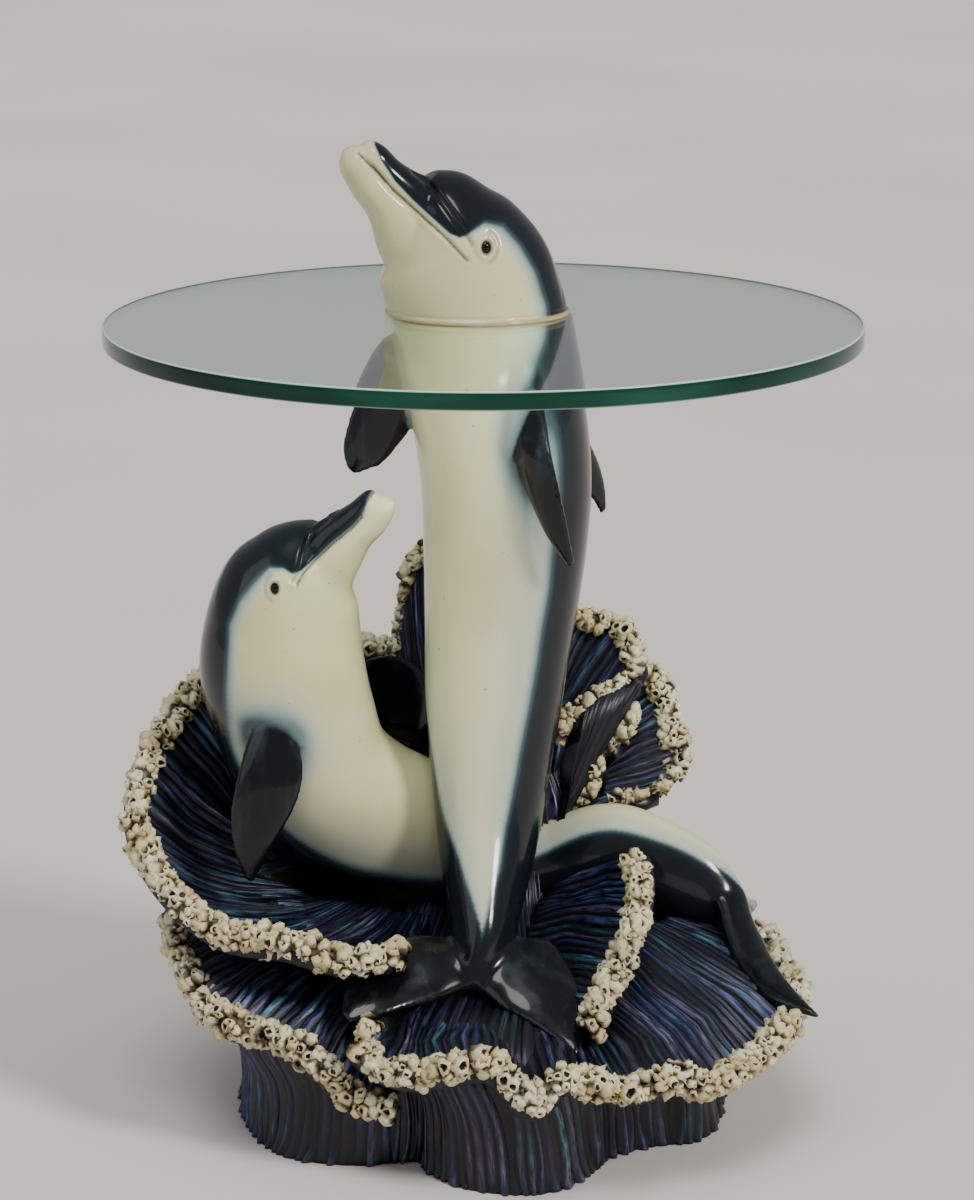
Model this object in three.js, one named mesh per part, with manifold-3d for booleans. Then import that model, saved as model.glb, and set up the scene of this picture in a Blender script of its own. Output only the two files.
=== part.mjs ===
// A side table cast as two dolphins on a coral base. The tall dolphin stands up through the
// line of a round glass top: its body carries the glass, and its head is a piece of its own
// that rests on the glass. Millimetres, +Z up. The origin is on the floor, under the centre
// of the glass. The front of the table faces -Y.
import * as THREE from 'three';
import { mergeVertices } from 'three/addons/utils/BufferGeometryUtils.js';
import Module from 'manifold-3d';

const wasm = await Module();
wasm.setup();

// ---- driving dimensions ----------------------------------------------------------------
const GLASS_RADIUS = 254;        // a 508 mm (20 in) round top
const GLASS_THICK = 12;
const GLASS_TOP = 555;           // height of the table's surface
const GLASS_ARRIS = 1.2;         // ground edge of the disc
const GLASS_SIDES = 72;
const TOUCH_GAP = 0.3;           // left between pieces that rest on each other
const WELD = 0.3;                // shorter edges, left where forms meet, are closed up

const BODY_SIDES = 14;           // facets round a dolphin's body
const BODY_STEP = 27;            // spacing of its rings along the spine
const BEAK_SIDES = 10;
const FIN_SIDES = 8;

const LEAF_STEP = 22;            // spacing of the coral's flutes along a rim
const LEAF_FLUTE = 1.8;          // half height of a flute
const LEAF_THICK = 13;           // of a coral leaf near its rim
const CRUST_RADIUS = 9;          // barnacle crust along each rim

const FOOT_SIDES = 60;           // facets round the fluted foot
const FOOT_FLUTE = 2.5;          // half depth of a foot flute
const FLUTED_TO = 110;           // height where the base turns plain, under the leaves

// ---- small helpers ---------------------------------------------------------------------
const vec = (p) => new THREE.Vector3(...p);
const spline = (points, closed = false) =>
  new THREE.CatmullRomCurve3(points.map(vec), closed, 'catmullrom', 0.5);
const mixed = (a, b, t) => new THREE.Vector3().lerpVectors(a, b, t);

function signedVolume(points, faces) {
  let sum = 0;
  for (const [a, b, c] of faces) {
    sum += points[a].dot(new THREE.Vector3().crossVectors(points[b], points[c])) / 6;
  }
  return sum;
}

// A closed skin over a row of rings, with a fan to the centre of each end ring.
function loft(rings) {
  const sides = rings[0].length;
  const points = rings.flat();
  const faces = [];
  for (let r = 0; r + 1 < rings.length; r++) {
    for (let i = 0; i < sides; i++) {
      const j = (i + 1) % sides;
      const [a, b, c, d] = [r * sides + i, r * sides + j, (r + 1) * sides + j, (r + 1) * sides + i];
      faces.push([a, b, c], [a, c, d]);
    }
  }
  for (const [ring, start] of [[0, true], [rings.length - 1, false]]) {
    const centre = new THREE.Vector3();
    rings[ring].forEach((p) => centre.addScaledVector(p, 1 / sides));
    points.push(centre);
    for (let i = 0; i < sides; i++) {
      const [a, b] = [ring * sides + i, ring * sides + ((i + 1) % sides)];
      faces.push(start ? [points.length - 1, b, a] : [points.length - 1, a, b]);
    }
  }
  if (signedVolume(points, faces) < 0) {
    faces.forEach((face) => face.reverse());
  }
  const geometry = new THREE.BufferGeometry().setFromPoints(points);
  geometry.setIndex(faces.flat());
  return geometry;
}

function toSolid(source) {
  const geometry = source.clone();
  geometry.deleteAttribute('normal');
  geometry.deleteAttribute('uv');
  const merged = mergeVertices(geometry, 1e-3);
  const faces = [];
  const index = merged.index.array;
  for (let i = 0; i < index.length; i += 3) {
    const [a, b, c] = index.slice(i, i + 3);
    if (a !== b && b !== c && c !== a) {
      faces.push(a, b, c);
    }
  }
  return new wasm.Manifold(new wasm.Mesh({
    numProp: 3,
    vertProperties: new Float32Array(merged.attributes.position.array),
    triVerts: new Uint32Array(faces),
  }));
}

function toGeometry(solid) {
  const { vertProperties, triVerts } = solid.getMesh();
  const geometry = new THREE.BufferGeometry();
  geometry.setAttribute('position', new THREE.BufferAttribute(new Float32Array(vertProperties), 3));
  geometry.setIndex(new THREE.BufferAttribute(new Uint32Array(triVerts), 1));
  return geometry;
}

const joined = (solids) => solids.reduce((sum, solid) => sum.add(solid));

// The outer skin of a union: short edges are closed up, and a sealed pocket left between the
// joined forms is filled by leaving its walls out.
function outerShell(solid) {
  const { vertProperties, triVerts } = solid.asOriginal().simplify(WELD).getMesh();
  const group = Array.from({ length: vertProperties.length / 3 }, (_, i) => i);
  const find = (i) => {
    while (group[i] !== i) {
      group[i] = group[group[i]];
      i = group[i];
    }
    return i;
  };
  const points = group.map((i) => vec(vertProperties.slice(3 * i, 3 * i + 3)));
  const faces = [];
  for (let i = 0; i < triVerts.length; i += 3) {
    const face = [...triVerts.slice(i, i + 3)];
    group[find(face[0])] = find(face[1]);
    group[find(face[1])] = find(face[2]);
    faces.push(face);
  }
  const shells = Map.groupBy(faces, (face) => find(face[0]));
  const volumes = [...shells.values()].map((shell) => [signedVolume(points, shell), shell]);
  const [, outer] = volumes.reduce((best, entry) => (entry[0] > best[0] ? entry : best));
  return new wasm.Manifold(new wasm.Mesh({
    numProp: 3,
    vertProperties,
    triVerts: new Uint32Array(outer.flat()),
  }));
}

// ---- dolphins --------------------------------------------------------------------------
// A station of a body is [x, y, z, half width, belly depth, back depth, belly direction].
function bodyLoft(stations, sides, step) {
  const path = spline(stations.map((s) => s.slice(0, 3)));
  const size = spline(stations.map((s) => s.slice(3, 6)));
  const belly = spline(stations.map((s) => s[6]));
  const count = Math.round(path.getLength() / step);
  const rings = [];
  for (let k = 0; k <= count; k++) {
    const t = path.getUtoTmapping(k / count);
    const along = path.getTangent(t);
    const down = belly.getPoint(t).addScaledVector(along, -along.dot(belly.getPoint(t))).normalize();
    const side = new THREE.Vector3().crossVectors(along, down);
    const [half, front, back] = size.getPoint(t).toArray();
    const ring = [];
    for (let i = 0; i < sides; i++) {
      const angle = (2 * Math.PI * i) / sides;
      const depth = Math.cos(angle) > 0 ? front : back;
      ring.push(path.getPoint(t)
        .addScaledVector(side, half * Math.sin(angle))
        .addScaledVector(down, depth * Math.cos(angle)));
    }
    rings.push(ring);
  }
  return toSolid(loft(rings));
}

// A fin is a lens-shaped blade. A station is [leading edge, trailing edge, thickness].
function finBlade(stations) {
  const middle = stations.map(([lead, trail]) => mixed(vec(lead), vec(trail), 0.5));
  const rings = stations.map(([lead, trail, thick], k) => {
    const chord = new THREE.Vector3().subVectors(vec(trail), vec(lead));
    const ahead = middle[Math.min(k + 1, middle.length - 1)];
    const span = new THREE.Vector3().subVectors(ahead, middle[Math.max(k - 1, 0)]);
    const normal = new THREE.Vector3().crossVectors(chord, span).normalize();
    const ring = [];
    for (let i = 0; i < FIN_SIDES; i++) {
      const angle = (2 * Math.PI * i) / FIN_SIDES;
      ring.push(middle[k].clone()
        .addScaledVector(chord, -0.5 * Math.cos(angle))
        .addScaledVector(normal, 0.5 * thick * Math.sin(angle)));
    }
    return ring;
  });
  return toSolid(loft(rings));
}

// The tall dolphin's head turns its belly side from the viewer's left towards the front.
const TALL_HEAD_TURN = THREE.MathUtils.degToRad(12);
const TALL_NECK = [-4, 30];
// A point of its profile: h is measured towards the back of the head, z is the height.
const tallProfile = (h, z) => [
  TALL_NECK[0] + h * Math.cos(TALL_HEAD_TURN),
  TALL_NECK[1] + h * Math.sin(TALL_HEAD_TURN),
  z,
];
const facing = (degrees) => {
  const turn = THREE.MathUtils.degToRad(degrees);
  return [-Math.sin(turn), -Math.cos(turn), 0];
};

const tallBody = [
  [-5, -106, 118, 9, 9, 9, [0, -0.5, 1]],
  [-3, -92, 130, 15, 22, 22, [0, -0.7, 0.7]],
  [0, -76, 146, 21, 30, 30, [-0.05, -1, 0.5]],
  [1, -52, 171, 28, 36, 36, [-0.1, -1, 0.25]],
  [3, -27, 205, 35, 41, 41, facing(14)],
  [5, -10, 245, 41, 45, 44, facing(20)],
  [7, 4, 290, 47, 49, 48, facing(26)],
  [11, 14, 340, 51, 53, 52, facing(32)],
  [15, 20, 400, 56, 57, 57, facing(40)],
  [15, 23, 450, 58, 59, 59, facing(50)],
  [7, 26, 505, 58, 60, 60, facing(65)],
  [...tallProfile(0, 555), 55, 60, 60, facing(78)],
  [...tallProfile(-5, 582), 53, 61, 58, facing(78)],
  [...tallProfile(-13, 604), 48, 57, 52, facing(78)],
  [...tallProfile(-22, 620), 39, 42, 37, facing(78)],
  [...tallProfile(-31, 634), 28, 27, 27, facing(78)],
  [...tallProfile(-38, 643), 13, 11, 14, facing(78)],
];
const tallBeak = [
  [...tallProfile(-30, 612), 27, 27, 27, facing(78)],
  [...tallProfile(-43, 621), 25, 25, 25, facing(78)],
  [...tallProfile(-57, 631), 21, 25, 23, facing(78)],
  [...tallProfile(-71, 646), 17, 20, 19, facing(78)],
  [...tallProfile(-80, 660), 14, 17, 16, facing(78)],
  [...tallProfile(-87, 669), 8, 8, 8, facing(78)],
];
const tallFins = [
  // left flipper, hanging close to the body at the front right
  [[[38, -18, 520], [14, -20, 478], 16], [[42, -52, 484], [25, -34, 456], 14],
    [[49, -58, 452], [34, -43, 436], 12], [[55, -57, 426], [44, -49, 416], 9],
    [[60, -52, 400], [57, -50, 398], 4]],
  // right flipper, spread to the left under the glass
  [[[-34, 36, 537], [-34, 36, 490], 17], [[-66, 30, 528], [-50, 31, 474], 14],
    [[-85, 26, 498], [-68, 27, 453], 11], [[-95, 23, 466], [-82, 24, 447], 8],
    [[-93, 22, 450], [-88, 22, 445], 4]],
  // dorsal fin
  [[[42, 54, 486], [42, 54, 398], 16], [[62, 79, 470], [60, 77, 404], 11],
    [[76, 94, 448], [74, 93, 406], 7], [[85, 102, 424], [83, 101, 408], 3]],
  // right and left lobes of the tail fluke
  [[[14, -76, 146], [-6, -108, 121], 18], [[45, -80, 144], [10, -122, 114], 15],
    [[62, -103, 123], [30, -134, 107], 12], [[67, -130, 106], [48, -147, 99], 8],
    [[63, -151, 95], [59, -154, 94], 4]],
  [[[-16, -76, 146], [-4, -108, 121], 18], [[-50, -82, 145], [-20, -116, 120], 15],
    [[-74, -98, 136], [-45, -126, 116], 12], [[-89, -115, 128], [-69, -136, 116], 8],
    [[-92, -134, 113], [-88, -141, 110], 4]],
];

// The small dolphin sits up at the left and its tail runs behind the tall one to the right.
const SMALL_HEAD_TURN = THREE.MathUtils.degToRad(-20);
const SMALL_NECK = [-137, 0];
// A point of its profile: h is measured towards the belly side of the head.
const smallProfile = (h, z) => [
  SMALL_NECK[0] + h * Math.cos(SMALL_HEAD_TURN),
  SMALL_NECK[1] + h * Math.sin(SMALL_HEAD_TURN),
  z,
];
const SMALL_FACE = [Math.cos(SMALL_HEAD_TURN), Math.sin(SMALL_HEAD_TURN), 0];

const smallBody = [
  [...smallProfile(26, 413), 12, 8, 9, SMALL_FACE],
  [...smallProfile(19, 404), 26, 24, 21, SMALL_FACE],
  [...smallProfile(11, 391), 36, 38, 33, SMALL_FACE],
  [...smallProfile(4, 373), 43, 48, 46, SMALL_FACE],
  [...smallProfile(0, 345), 49, 54, 54, SMALL_FACE],
  [-137, 0, 313, 54, 57, 59, [0.88, -0.48, 0]],
  [-131, 5, 280, 55, 57, 57, [0.75, -0.66, 0.1]],
  [-118, 13, 240, 53, 56, 56, [0.65, -0.62, 0.4]],
  [-93, 26, 207, 50, 62, 51, [0.45, -0.55, 0.7]],
  [-60, 36, 184, 46, 63, 46, [0.25, -0.45, 0.86]],
  [-26, 45, 164, 41, 54, 40, [0.05, -0.25, 0.97]],
  [10, 49, 153, 34, 38, 36, [0, 0, 1]],
  [50, 47, 160, 28, 31, 34, [0, 0.15, 1]],
  [90, 37, 173, 25, 31, 35, [0.05, 0.2, 1]],
  [120, 27, 167, 21, 29, 33, [0.25, 0.2, 1]],
  [146, 20, 154, 18, 28, 28, [0.45, 0.15, 1]],
  [166, 15, 141, 14, 20, 21, [0.6, 0.1, 1]],
  [181, 10, 127, 10, 11, 12, [0.6, 0.1, 1]],
];
const smallBeak = [
  [...smallProfile(26, 388), 22, 22, 22, SMALL_FACE],
  [...smallProfile(38, 399), 20, 20, 20, SMALL_FACE],
  [...smallProfile(50, 411), 17, 17, 17, SMALL_FACE],
  [...smallProfile(63, 424), 13, 14, 14, SMALL_FACE],
  [...smallProfile(71, 434), 11, 11, 11, SMALL_FACE],
  [...smallProfile(75, 441), 6, 5, 6, SMALL_FACE],
];
const smallFins = [
  // near flipper, hanging over the bowl
  [[[-152, -38, 294], [-128, -40, 290], 16], [[-164, -54, 260], [-127, -56, 264], 14],
    [[-170, -60, 228], [-123, -63, 236], 12], [[-168, -64, 204], [-133, -66, 210], 9],
    [[-161, -66, 184], [-156, -66, 182], 4]],
  // far flipper, reaching behind the tall dolphin
  [[[-98, 34, 304], [-92, 34, 252], 16], [[-66, 58, 307], [-62, 56, 248], 13],
    [[-42, 72, 291], [-42, 69, 234], 11], [[-26, 80, 264], [-32, 78, 230], 8],
    [[-23, 82, 240], [-25, 82, 234], 4]],
  // dorsal fin, low behind its back
  [[[-148, 40, 262], [-118, 48, 196], 16], [[-172, 58, 236], [-150, 62, 200], 11],
    [[-186, 70, 214], [-176, 72, 196], 7], [[-192, 76, 198], [-190, 77, 193], 3]],
  // near and far lobes of the tail fluke
  [[[160, 4, 150], [186, 12, 132], 18], [[167, -20, 125], [193, -8, 121], 16],
    [[177, -43, 107], [201, -36, 111], 13], [[191, -65, 98], [211, -62, 104], 10],
    [[209, -80, 96], [219, -78, 99], 7], [[225, -90, 94], [227, -89, 94], 3]],
  [[[162, 18, 142], [182, 18, 126], 14], [[164, 44, 134], [190, 40, 124], 12],
    [[172, 64, 126], [194, 60, 120], 9], [[184, 78, 120], [196, 76, 117], 6],
    [[193, 86, 116], [197, 85, 115], 4]],
];

// ---- coral base ------------------------------------------------------------------------
// A leaf is a fluted sheet from its root curve out to its rim, which carries a thick bead of
// barnacle crust. "sag" lowers the middle of the sheet, and a negative sag raises it.
const leaves = [
  { // the bowl that holds the small dolphin
    rim: [[-62, 104, 298], [-118, 106, 306], [-164, 92, 300], [-200, 60, 285], [-222, 28, 260],
      [-237, -6, 230], [-233, -40, 203], [-208, -78, 177], [-172, -104, 158], [-132, -120, 157],
      [-95, -130, 150], [-54, -126, 153]],
    root: [[-50, 62, 170], [-95, 60, 165], [-128, 45, 160], [-138, 22, 154], [-122, 6, 148],
      [-84, 2, 142], [-38, -4, 136]],
    sag: 10,
  },
  { // left leaf below the bowl
    rim: [[-213, -20, 142], [-209, -50, 128], [-192, -86, 112], [-172, -112, 98], [-132, -132, 94],
      [-108, -144, 80], [-88, -152, 62], [-60, -156, 53]],
    root: [[-130, 0, 150], [-110, -40, 135], [-70, -70, 115], [-40, -90, 95]],
    sag: -8,
  },
  { // the long front leaf, from under the fluke round to the right
    rim: [[-72, -146, 112], [-80, -162, 98], [-50, -182, 89], [-8, -190, 98], [12, -196, 96],
      [31, -203, 77], [52, -195, 91], [94, -182, 79], [126, -165, 79], [150, -152, 70],
      [184, -118, 78], [206, -78, 86], [215, -35, 94], [203, 16, 100]],
    root: [[-60, -70, 112], [-10, -75, 108], [45, -60, 112], [88, -35, 132], [122, -8, 134],
      [138, 18, 128]],
    sag: -3,
  },
  { // the upright leaf beside the tall dolphin's tail
    rim: [[102, -42, 192], [106, -55, 176], [102, -80, 156], [92, -106, 140], [78, -132, 124],
      [69, -152, 108]],
    root: [[48, 24, 150], [30, -10, 132], [30, -50, 120], [46, -92, 100]],
    sag: -2,
  },
  { // the tall fan behind both dolphins
    rim: [[-62, 104, 290], [-58, 108, 324], [-50, 110, 360], [-20, 112, 374], [20, 112, 356],
      [60, 110, 324], [92, 104, 316], [108, 94, 295], [98, 82, 280], [74, 72, 269],
      [50, 60, 250]],
    root: [[-50, 60, 180], [-30, 66, 200], [0, 68, 200], [30, 62, 184], [46, 54, 166]],
    sag: -4,
  },
  { // two smaller leaves stacked at the back right
    rim: [[92, 122, 288], [114, 112, 281], [130, 100, 263], [134, 92, 242], [139, 80, 220],
      [120, 72, 203], [90, 70, 198]],
    root: [[40, 100, 215], [50, 80, 200], [48, 50, 175]],
    sag: -4,
  },
  {
    rim: [[104, 84, 258], [98, 76, 243], [76, 70, 228], [74, 64, 208], [40, 56, 180]],
    root: [[50, 74, 225], [36, 62, 200], [20, 48, 170]],
    sag: -3,
  },
  { // upper leaf at the back
    rim: [[-196, 84, 228], [-158, 122, 206], [-98, 146, 190], [-32, 158, 198], [32, 156, 208],
      [88, 136, 204], [112, 112, 212]],
    root: [[-120, 70, 240], [-50, 80, 245], [40, 82, 245], [85, 75, 225]],
    sag: 0,
  },
  { // lower leaf at the back, which closes the ring of the lowest rim
    rim: [[-213, -8, 142], [-204, 50, 134], [-168, 112, 112], [-112, 150, 96], [-50, 172, 92],
      [14, 182, 102], [74, 174, 92], [126, 148, 88], [170, 104, 92], [198, 54, 98],
      [205, 12, 99]],
    root: [[-130, 20, 165], [-100, 70, 170], [-20, 95, 180], [70, 85, 175], [130, 40, 150],
      [140, 15, 135]],
    sag: -8,
  },
];

function leafSolid({ rim, root, sag }) {
  const outer = spline(rim);
  const inner = spline(root);
  const count = 2 * Math.round(outer.getLength() / LEAF_STEP / 2);
  const sheet = [0, 0.35, 0.7];
  const bead = [-100, -10, 80, 170];
  const rings = [];
  for (let k = 0; k <= count; k++) {
    const edge = outer.getPointAt(k / count);
    const start = inner.getPointAt(k / count);
    const out = new THREE.Vector3().subVectors(edge, start).normalize();
    const side = outer.getTangentAt(k / count);
    const up = new THREE.Vector3().crossVectors(side, out).normalize();
    if (up.z < 0) {
      up.negate();
    }
    const flute = (k % 2 ? -1 : 1) * LEAF_FLUTE;
    const skin = (v, lift) => mixed(start, edge, v)
      .addScaledVector(up, lift + flute * v)
      .add(new THREE.Vector3(0, 0, -sag * Math.sin(Math.PI * v)));
    const top = sheet.map((v) => skin(v, 0));
    const rolled = bead.map((degrees) => {
      const angle = THREE.MathUtils.degToRad(degrees);
      return edge.clone()
        .addScaledVector(out, CRUST_RADIUS * Math.cos(angle))
        .addScaledVector(up, -CRUST_RADIUS * Math.sin(angle));
    });
    const under = [0.7, 0.35, 0].map((v) => skin(v, -LEAF_THICK * (2.2 - 1.2 * v)));
    rings.push([...top, ...rolled, ...under]);
  }
  return toSolid(loft(rings));
}

// The foot's outline on the floor: three lobes at the front and plainer ones at the back.
const footOutline = [
  [-172, -4], [-162, -60], [-146, -98], [-122, -117], [-84, -125], [-48, -119], [-36, -140],
  [-12, -164], [20, -174], [50, -167], [76, -135], [92, -106], [122, -90], [148, -82],
  [165, -50], [170, 5], [158, 60], [128, 96], [92, 140], [30, 164], [-32, 158], [-62, 130],
  [-104, 134], [-148, 104], [-166, 55],
];
// Each level of the base is [height, scale, shift in x, shift in y].
const footLevels = [
  [0, 1.0, 0, 0],
  [14, 0.99, 0, 0],
  [48, 0.98, -2, 0],
  [82, 1.02, -12, 5],
  [105, 0.91, -12, 12],
  [118, 0.7, -2, 34],
  [132, 0.52, 0, 68],
  [160, 0.42, 4, 76],
  [205, 0.36, 6, 80],
  [250, 0.2, 10, 88],
];

function footSolid() {
  const outline = spline(footOutline.map(([x, y]) => [x, y, 0]), true);
  const rings = footLevels.map(([height, scale, dx, dy]) => {
    const ring = [];
    for (let i = 0; i < FOOT_SIDES; i++) {
      const point = outline.getPointAt(i / FOOT_SIDES);
      const flute = height < FLUTED_TO ? (i % 2 ? -FOOT_FLUTE : FOOT_FLUTE) : 0;
      const reach = scale * (1 + flute / point.length());
      ring.push(new THREE.Vector3(point.x * reach + dx, point.y * reach + dy, height));
    }
    return ring;
  });
  return toSolid(loft(rings));
}

// ---- pieces ----------------------------------------------------------------------------
function halfSpaceBox(low, high) {
  const size = 4 * GLASS_RADIUS;
  const box = new THREE.BoxGeometry(size, size, high - low);
  box.translate(0, 0, (low + high) / 2);
  return toSolid(box);
}

function buildCasting(tallDolphin) {
  const smallDolphin = joined([
    bodyLoft(smallBody, BODY_SIDES, BODY_STEP),
    bodyLoft(smallBeak, BEAK_SIDES, BODY_STEP / 2),
    ...smallFins.map(finBlade),
  ]);
  const coral = joined([footSolid(), ...leaves.map(leafSolid)]);
  const below = tallDolphin.subtract(halfSpaceBox(GLASS_TOP - GLASS_THICK - TOUCH_GAP, 2 * GLASS_TOP));
  return outerShell(joined([coral, smallDolphin, below, ...tallFins.map(finBlade)]));
}

function buildHead(tallDolphin) {
  return outerShell(tallDolphin.subtract(halfSpaceBox(-GLASS_TOP, GLASS_TOP + TOUCH_GAP)));
}

function buildGlass() {
  const low = GLASS_TOP - GLASS_THICK;
  const profile = [
    [0, low],
    [GLASS_RADIUS - GLASS_ARRIS, low],
    [GLASS_RADIUS, low + GLASS_ARRIS],
    [GLASS_RADIUS, GLASS_TOP - GLASS_ARRIS],
    [GLASS_RADIUS - GLASS_ARRIS, GLASS_TOP],
    [0, GLASS_TOP],
  ];
  const lathe = new THREE.LatheGeometry(profile.map(([r, z]) => new THREE.Vector2(r, z)), GLASS_SIDES);
  lathe.rotateX(Math.PI / 2);
  return toSolid(lathe);
}

function addPiece(group, name, solid, colour, roughness, extra = {}) {
  const material = new THREE.MeshStandardMaterial({ color: colour, roughness, metalness: 0, ...extra });
  const mesh = new THREE.Mesh(toGeometry(solid), material);
  mesh.name = name;
  group.add(mesh);
}

const tallDolphin = joined([
  bodyLoft(tallBody, BODY_SIDES, BODY_STEP),
  bodyLoft(tallBeak, BEAK_SIDES, BODY_STEP / 2),
]);

const table = new THREE.Group();
addPiece(table, 'dolphins_and_coral_casting', buildCasting(tallDolphin), 0x3a4654, 0.35);
addPiece(table, 'glass_top', buildGlass(), 0xbfd8ce, 0.05, { transparent: true, opacity: 0.35 });
addPiece(table, 'upper_dolphin_head', buildHead(tallDolphin), 0xb9b69c, 0.25);

export default table;
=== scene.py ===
"""The looks of a dolphin side table: glossy airbrushed dolphins, coral leaves edged with a
crust of barnacles, and a round glass top. Forms are worked out in millimetres in the frame of
the CAD model and turned to metres as each mesh is made."""
import math

import bmesh
import bpy
import numpy as np
from mathutils.bvhtree import BVHTree
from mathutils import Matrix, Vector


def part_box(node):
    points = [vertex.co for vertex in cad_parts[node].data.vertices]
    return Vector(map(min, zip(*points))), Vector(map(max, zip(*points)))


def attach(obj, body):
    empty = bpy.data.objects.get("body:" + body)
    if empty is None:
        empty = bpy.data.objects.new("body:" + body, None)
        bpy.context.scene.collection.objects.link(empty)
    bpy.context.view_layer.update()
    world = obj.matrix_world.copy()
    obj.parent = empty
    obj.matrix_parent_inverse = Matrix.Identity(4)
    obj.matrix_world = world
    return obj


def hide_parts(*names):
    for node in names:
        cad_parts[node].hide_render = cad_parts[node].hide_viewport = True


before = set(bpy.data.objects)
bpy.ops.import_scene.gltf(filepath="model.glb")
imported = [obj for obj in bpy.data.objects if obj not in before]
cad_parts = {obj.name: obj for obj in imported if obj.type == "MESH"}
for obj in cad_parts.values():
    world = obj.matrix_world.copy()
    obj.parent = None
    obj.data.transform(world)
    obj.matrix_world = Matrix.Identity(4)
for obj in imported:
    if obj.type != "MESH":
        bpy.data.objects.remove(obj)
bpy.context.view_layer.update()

MM = 0.001
random = np.random.default_rng(11)

# ---- sizes that come from the frame ------------------------------------------------------
glass_low, glass_high = (np.array(corner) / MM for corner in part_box("glass_top"))
GLASS_RADIUS = (glass_high[0] - glass_low[0]) / 2
GLASS_BOTTOM = glass_low[2]
GLASS_TOP = glass_high[2]
TOUCH_GAP = 0.3


# ---- curves and meshes -------------------------------------------------------------------
def spline(points, t):
    """Catmull-Rom curve through points, at places t from 0 to 1, one equal step a segment."""
    p = np.asarray(points, float)
    p = np.vstack([2 * p[0] - p[1], p, 2 * p[-1] - p[-2]])
    x = np.clip(np.asarray(t, float), 0, 1) * (len(p) - 3)
    i = np.minimum(x.astype(int), len(p) - 4)
    f = (x - i)[..., None]
    a, b, c, d = p[i], p[i + 1], p[i + 2], p[i + 3]
    return 0.5 * (2 * b + (c - a) * f + (2 * a - 5 * b + 4 * c - d) * f**2
                  + (3 * b - a - 3 * c + d) * f**3)


def even_steps(points, fractions):
    """Places t on the spline at these fractions of its length, and the length."""
    t = np.linspace(0, 1, 2000)
    steps = np.linalg.norm(np.diff(spline(points, t), axis=0), axis=1)
    length = np.concatenate([[0], np.cumsum(steps)])
    return np.interp(np.asarray(fractions) * length[-1], length, t), length[-1]


def unit(v):
    return v / np.maximum(np.linalg.norm(v, axis=-1, keepdims=True), 1e-9)


def ease(low, high, x):
    """A soft step from 0 at low to 1 at high."""
    x = np.clip((x - low) / (high - low), 0, 1)
    return x * x * (3 - 2 * x)


def bell(x, width, power=2):
    """1 where x is 0, falling away to nothing over about this width."""
    return np.exp(-(x / width) ** power)


def circle(sides):
    return np.linspace(0, 2 * np.pi, sides, endpoint=False)


def grid_of(rows, sides):
    """Point numbers of a tube's rings, and the quads between them."""
    grid = np.arange(rows * sides).reshape(rows, sides)
    after = np.roll(grid, -1, axis=1)
    return grid, after, np.stack([grid[:-1], after[:-1], after[1:], grid[1:]], -1).reshape(-1, 4)


def loft(rings):
    """Points and quads of a closed skin over rings (rows, sides, 3), a fan over each end."""
    rows, sides = rings.shape[:2]
    grid, after, quads = grid_of(rows, sides)
    points = np.vstack([rings.reshape(-1, 3), rings[0].mean(0), rings[-1].mean(0)])
    start, end = rows * sides, rows * sides + 1
    fan_a = np.stack([np.full(sides, start), after[0], grid[0]], -1)
    fan_b = np.stack([np.full(sides, end), grid[-1], after[-1]], -1)
    faces = [tuple(q) for q in quads.tolist()] + [tuple(f) for f in fan_a.tolist() + fan_b.tolist()]
    a, b, c = points[quads[:, 0]], points[quads[:, 1]], points[quads[:, 2]]
    d = points[quads[:, 3]]
    volume = np.einsum("ij,ij->", a, np.cross(b, c)) + np.einsum("ij,ij->", a, np.cross(c, d))
    if volume < 0:
        faces = [f[::-1] for f in faces]
    return points, faces


def merged(parts):
    """Several (points, faces) as one."""
    points, faces, start = [], [], 0
    for p, f in parts:
        points.append(p)
        faces += [tuple(i + start for i in face) for face in f]
        start += len(p)
    return np.vstack(points), faces


def new_object(name, points, faces, material, **attributes):
    mesh = bpy.data.meshes.new(name)
    mesh.from_pydata((np.asarray(points) * MM).tolist(), [], faces)
    for key, values in attributes.items():
        layer = mesh.attributes.new(key, "FLOAT", "POINT")
        layer.data.foreach_set("value", np.asarray(values, np.float32))
    mesh.shade_smooth()
    mesh.materials.append(material)
    obj = bpy.data.objects.new(name, mesh)
    bpy.context.collection.objects.link(obj)
    return obj


CASTING = "dolphins_and_coral_casting"
HEAD = "upper_dolphin_head"


def add_piece(name, node, slot, points, faces, material, **attributes):
    """An object in place of a CAD node. Every piece rides on the one body."""
    obj = new_object(name, points, faces, material, **attributes)
    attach(obj, "root")
    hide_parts(node)
    return obj


# ---- materials ---------------------------------------------------------------------------
def linear(code):
    """The scene's linear colour of an sRGB code."""
    rgb = [int(code[i:i + 2], 16) / 255 for i in (1, 3, 5)]
    return [c / 12.92 if c <= 0.04045 else ((c + 0.055) / 1.055) ** 2.4 for c in rgb] + [1.0]


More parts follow.
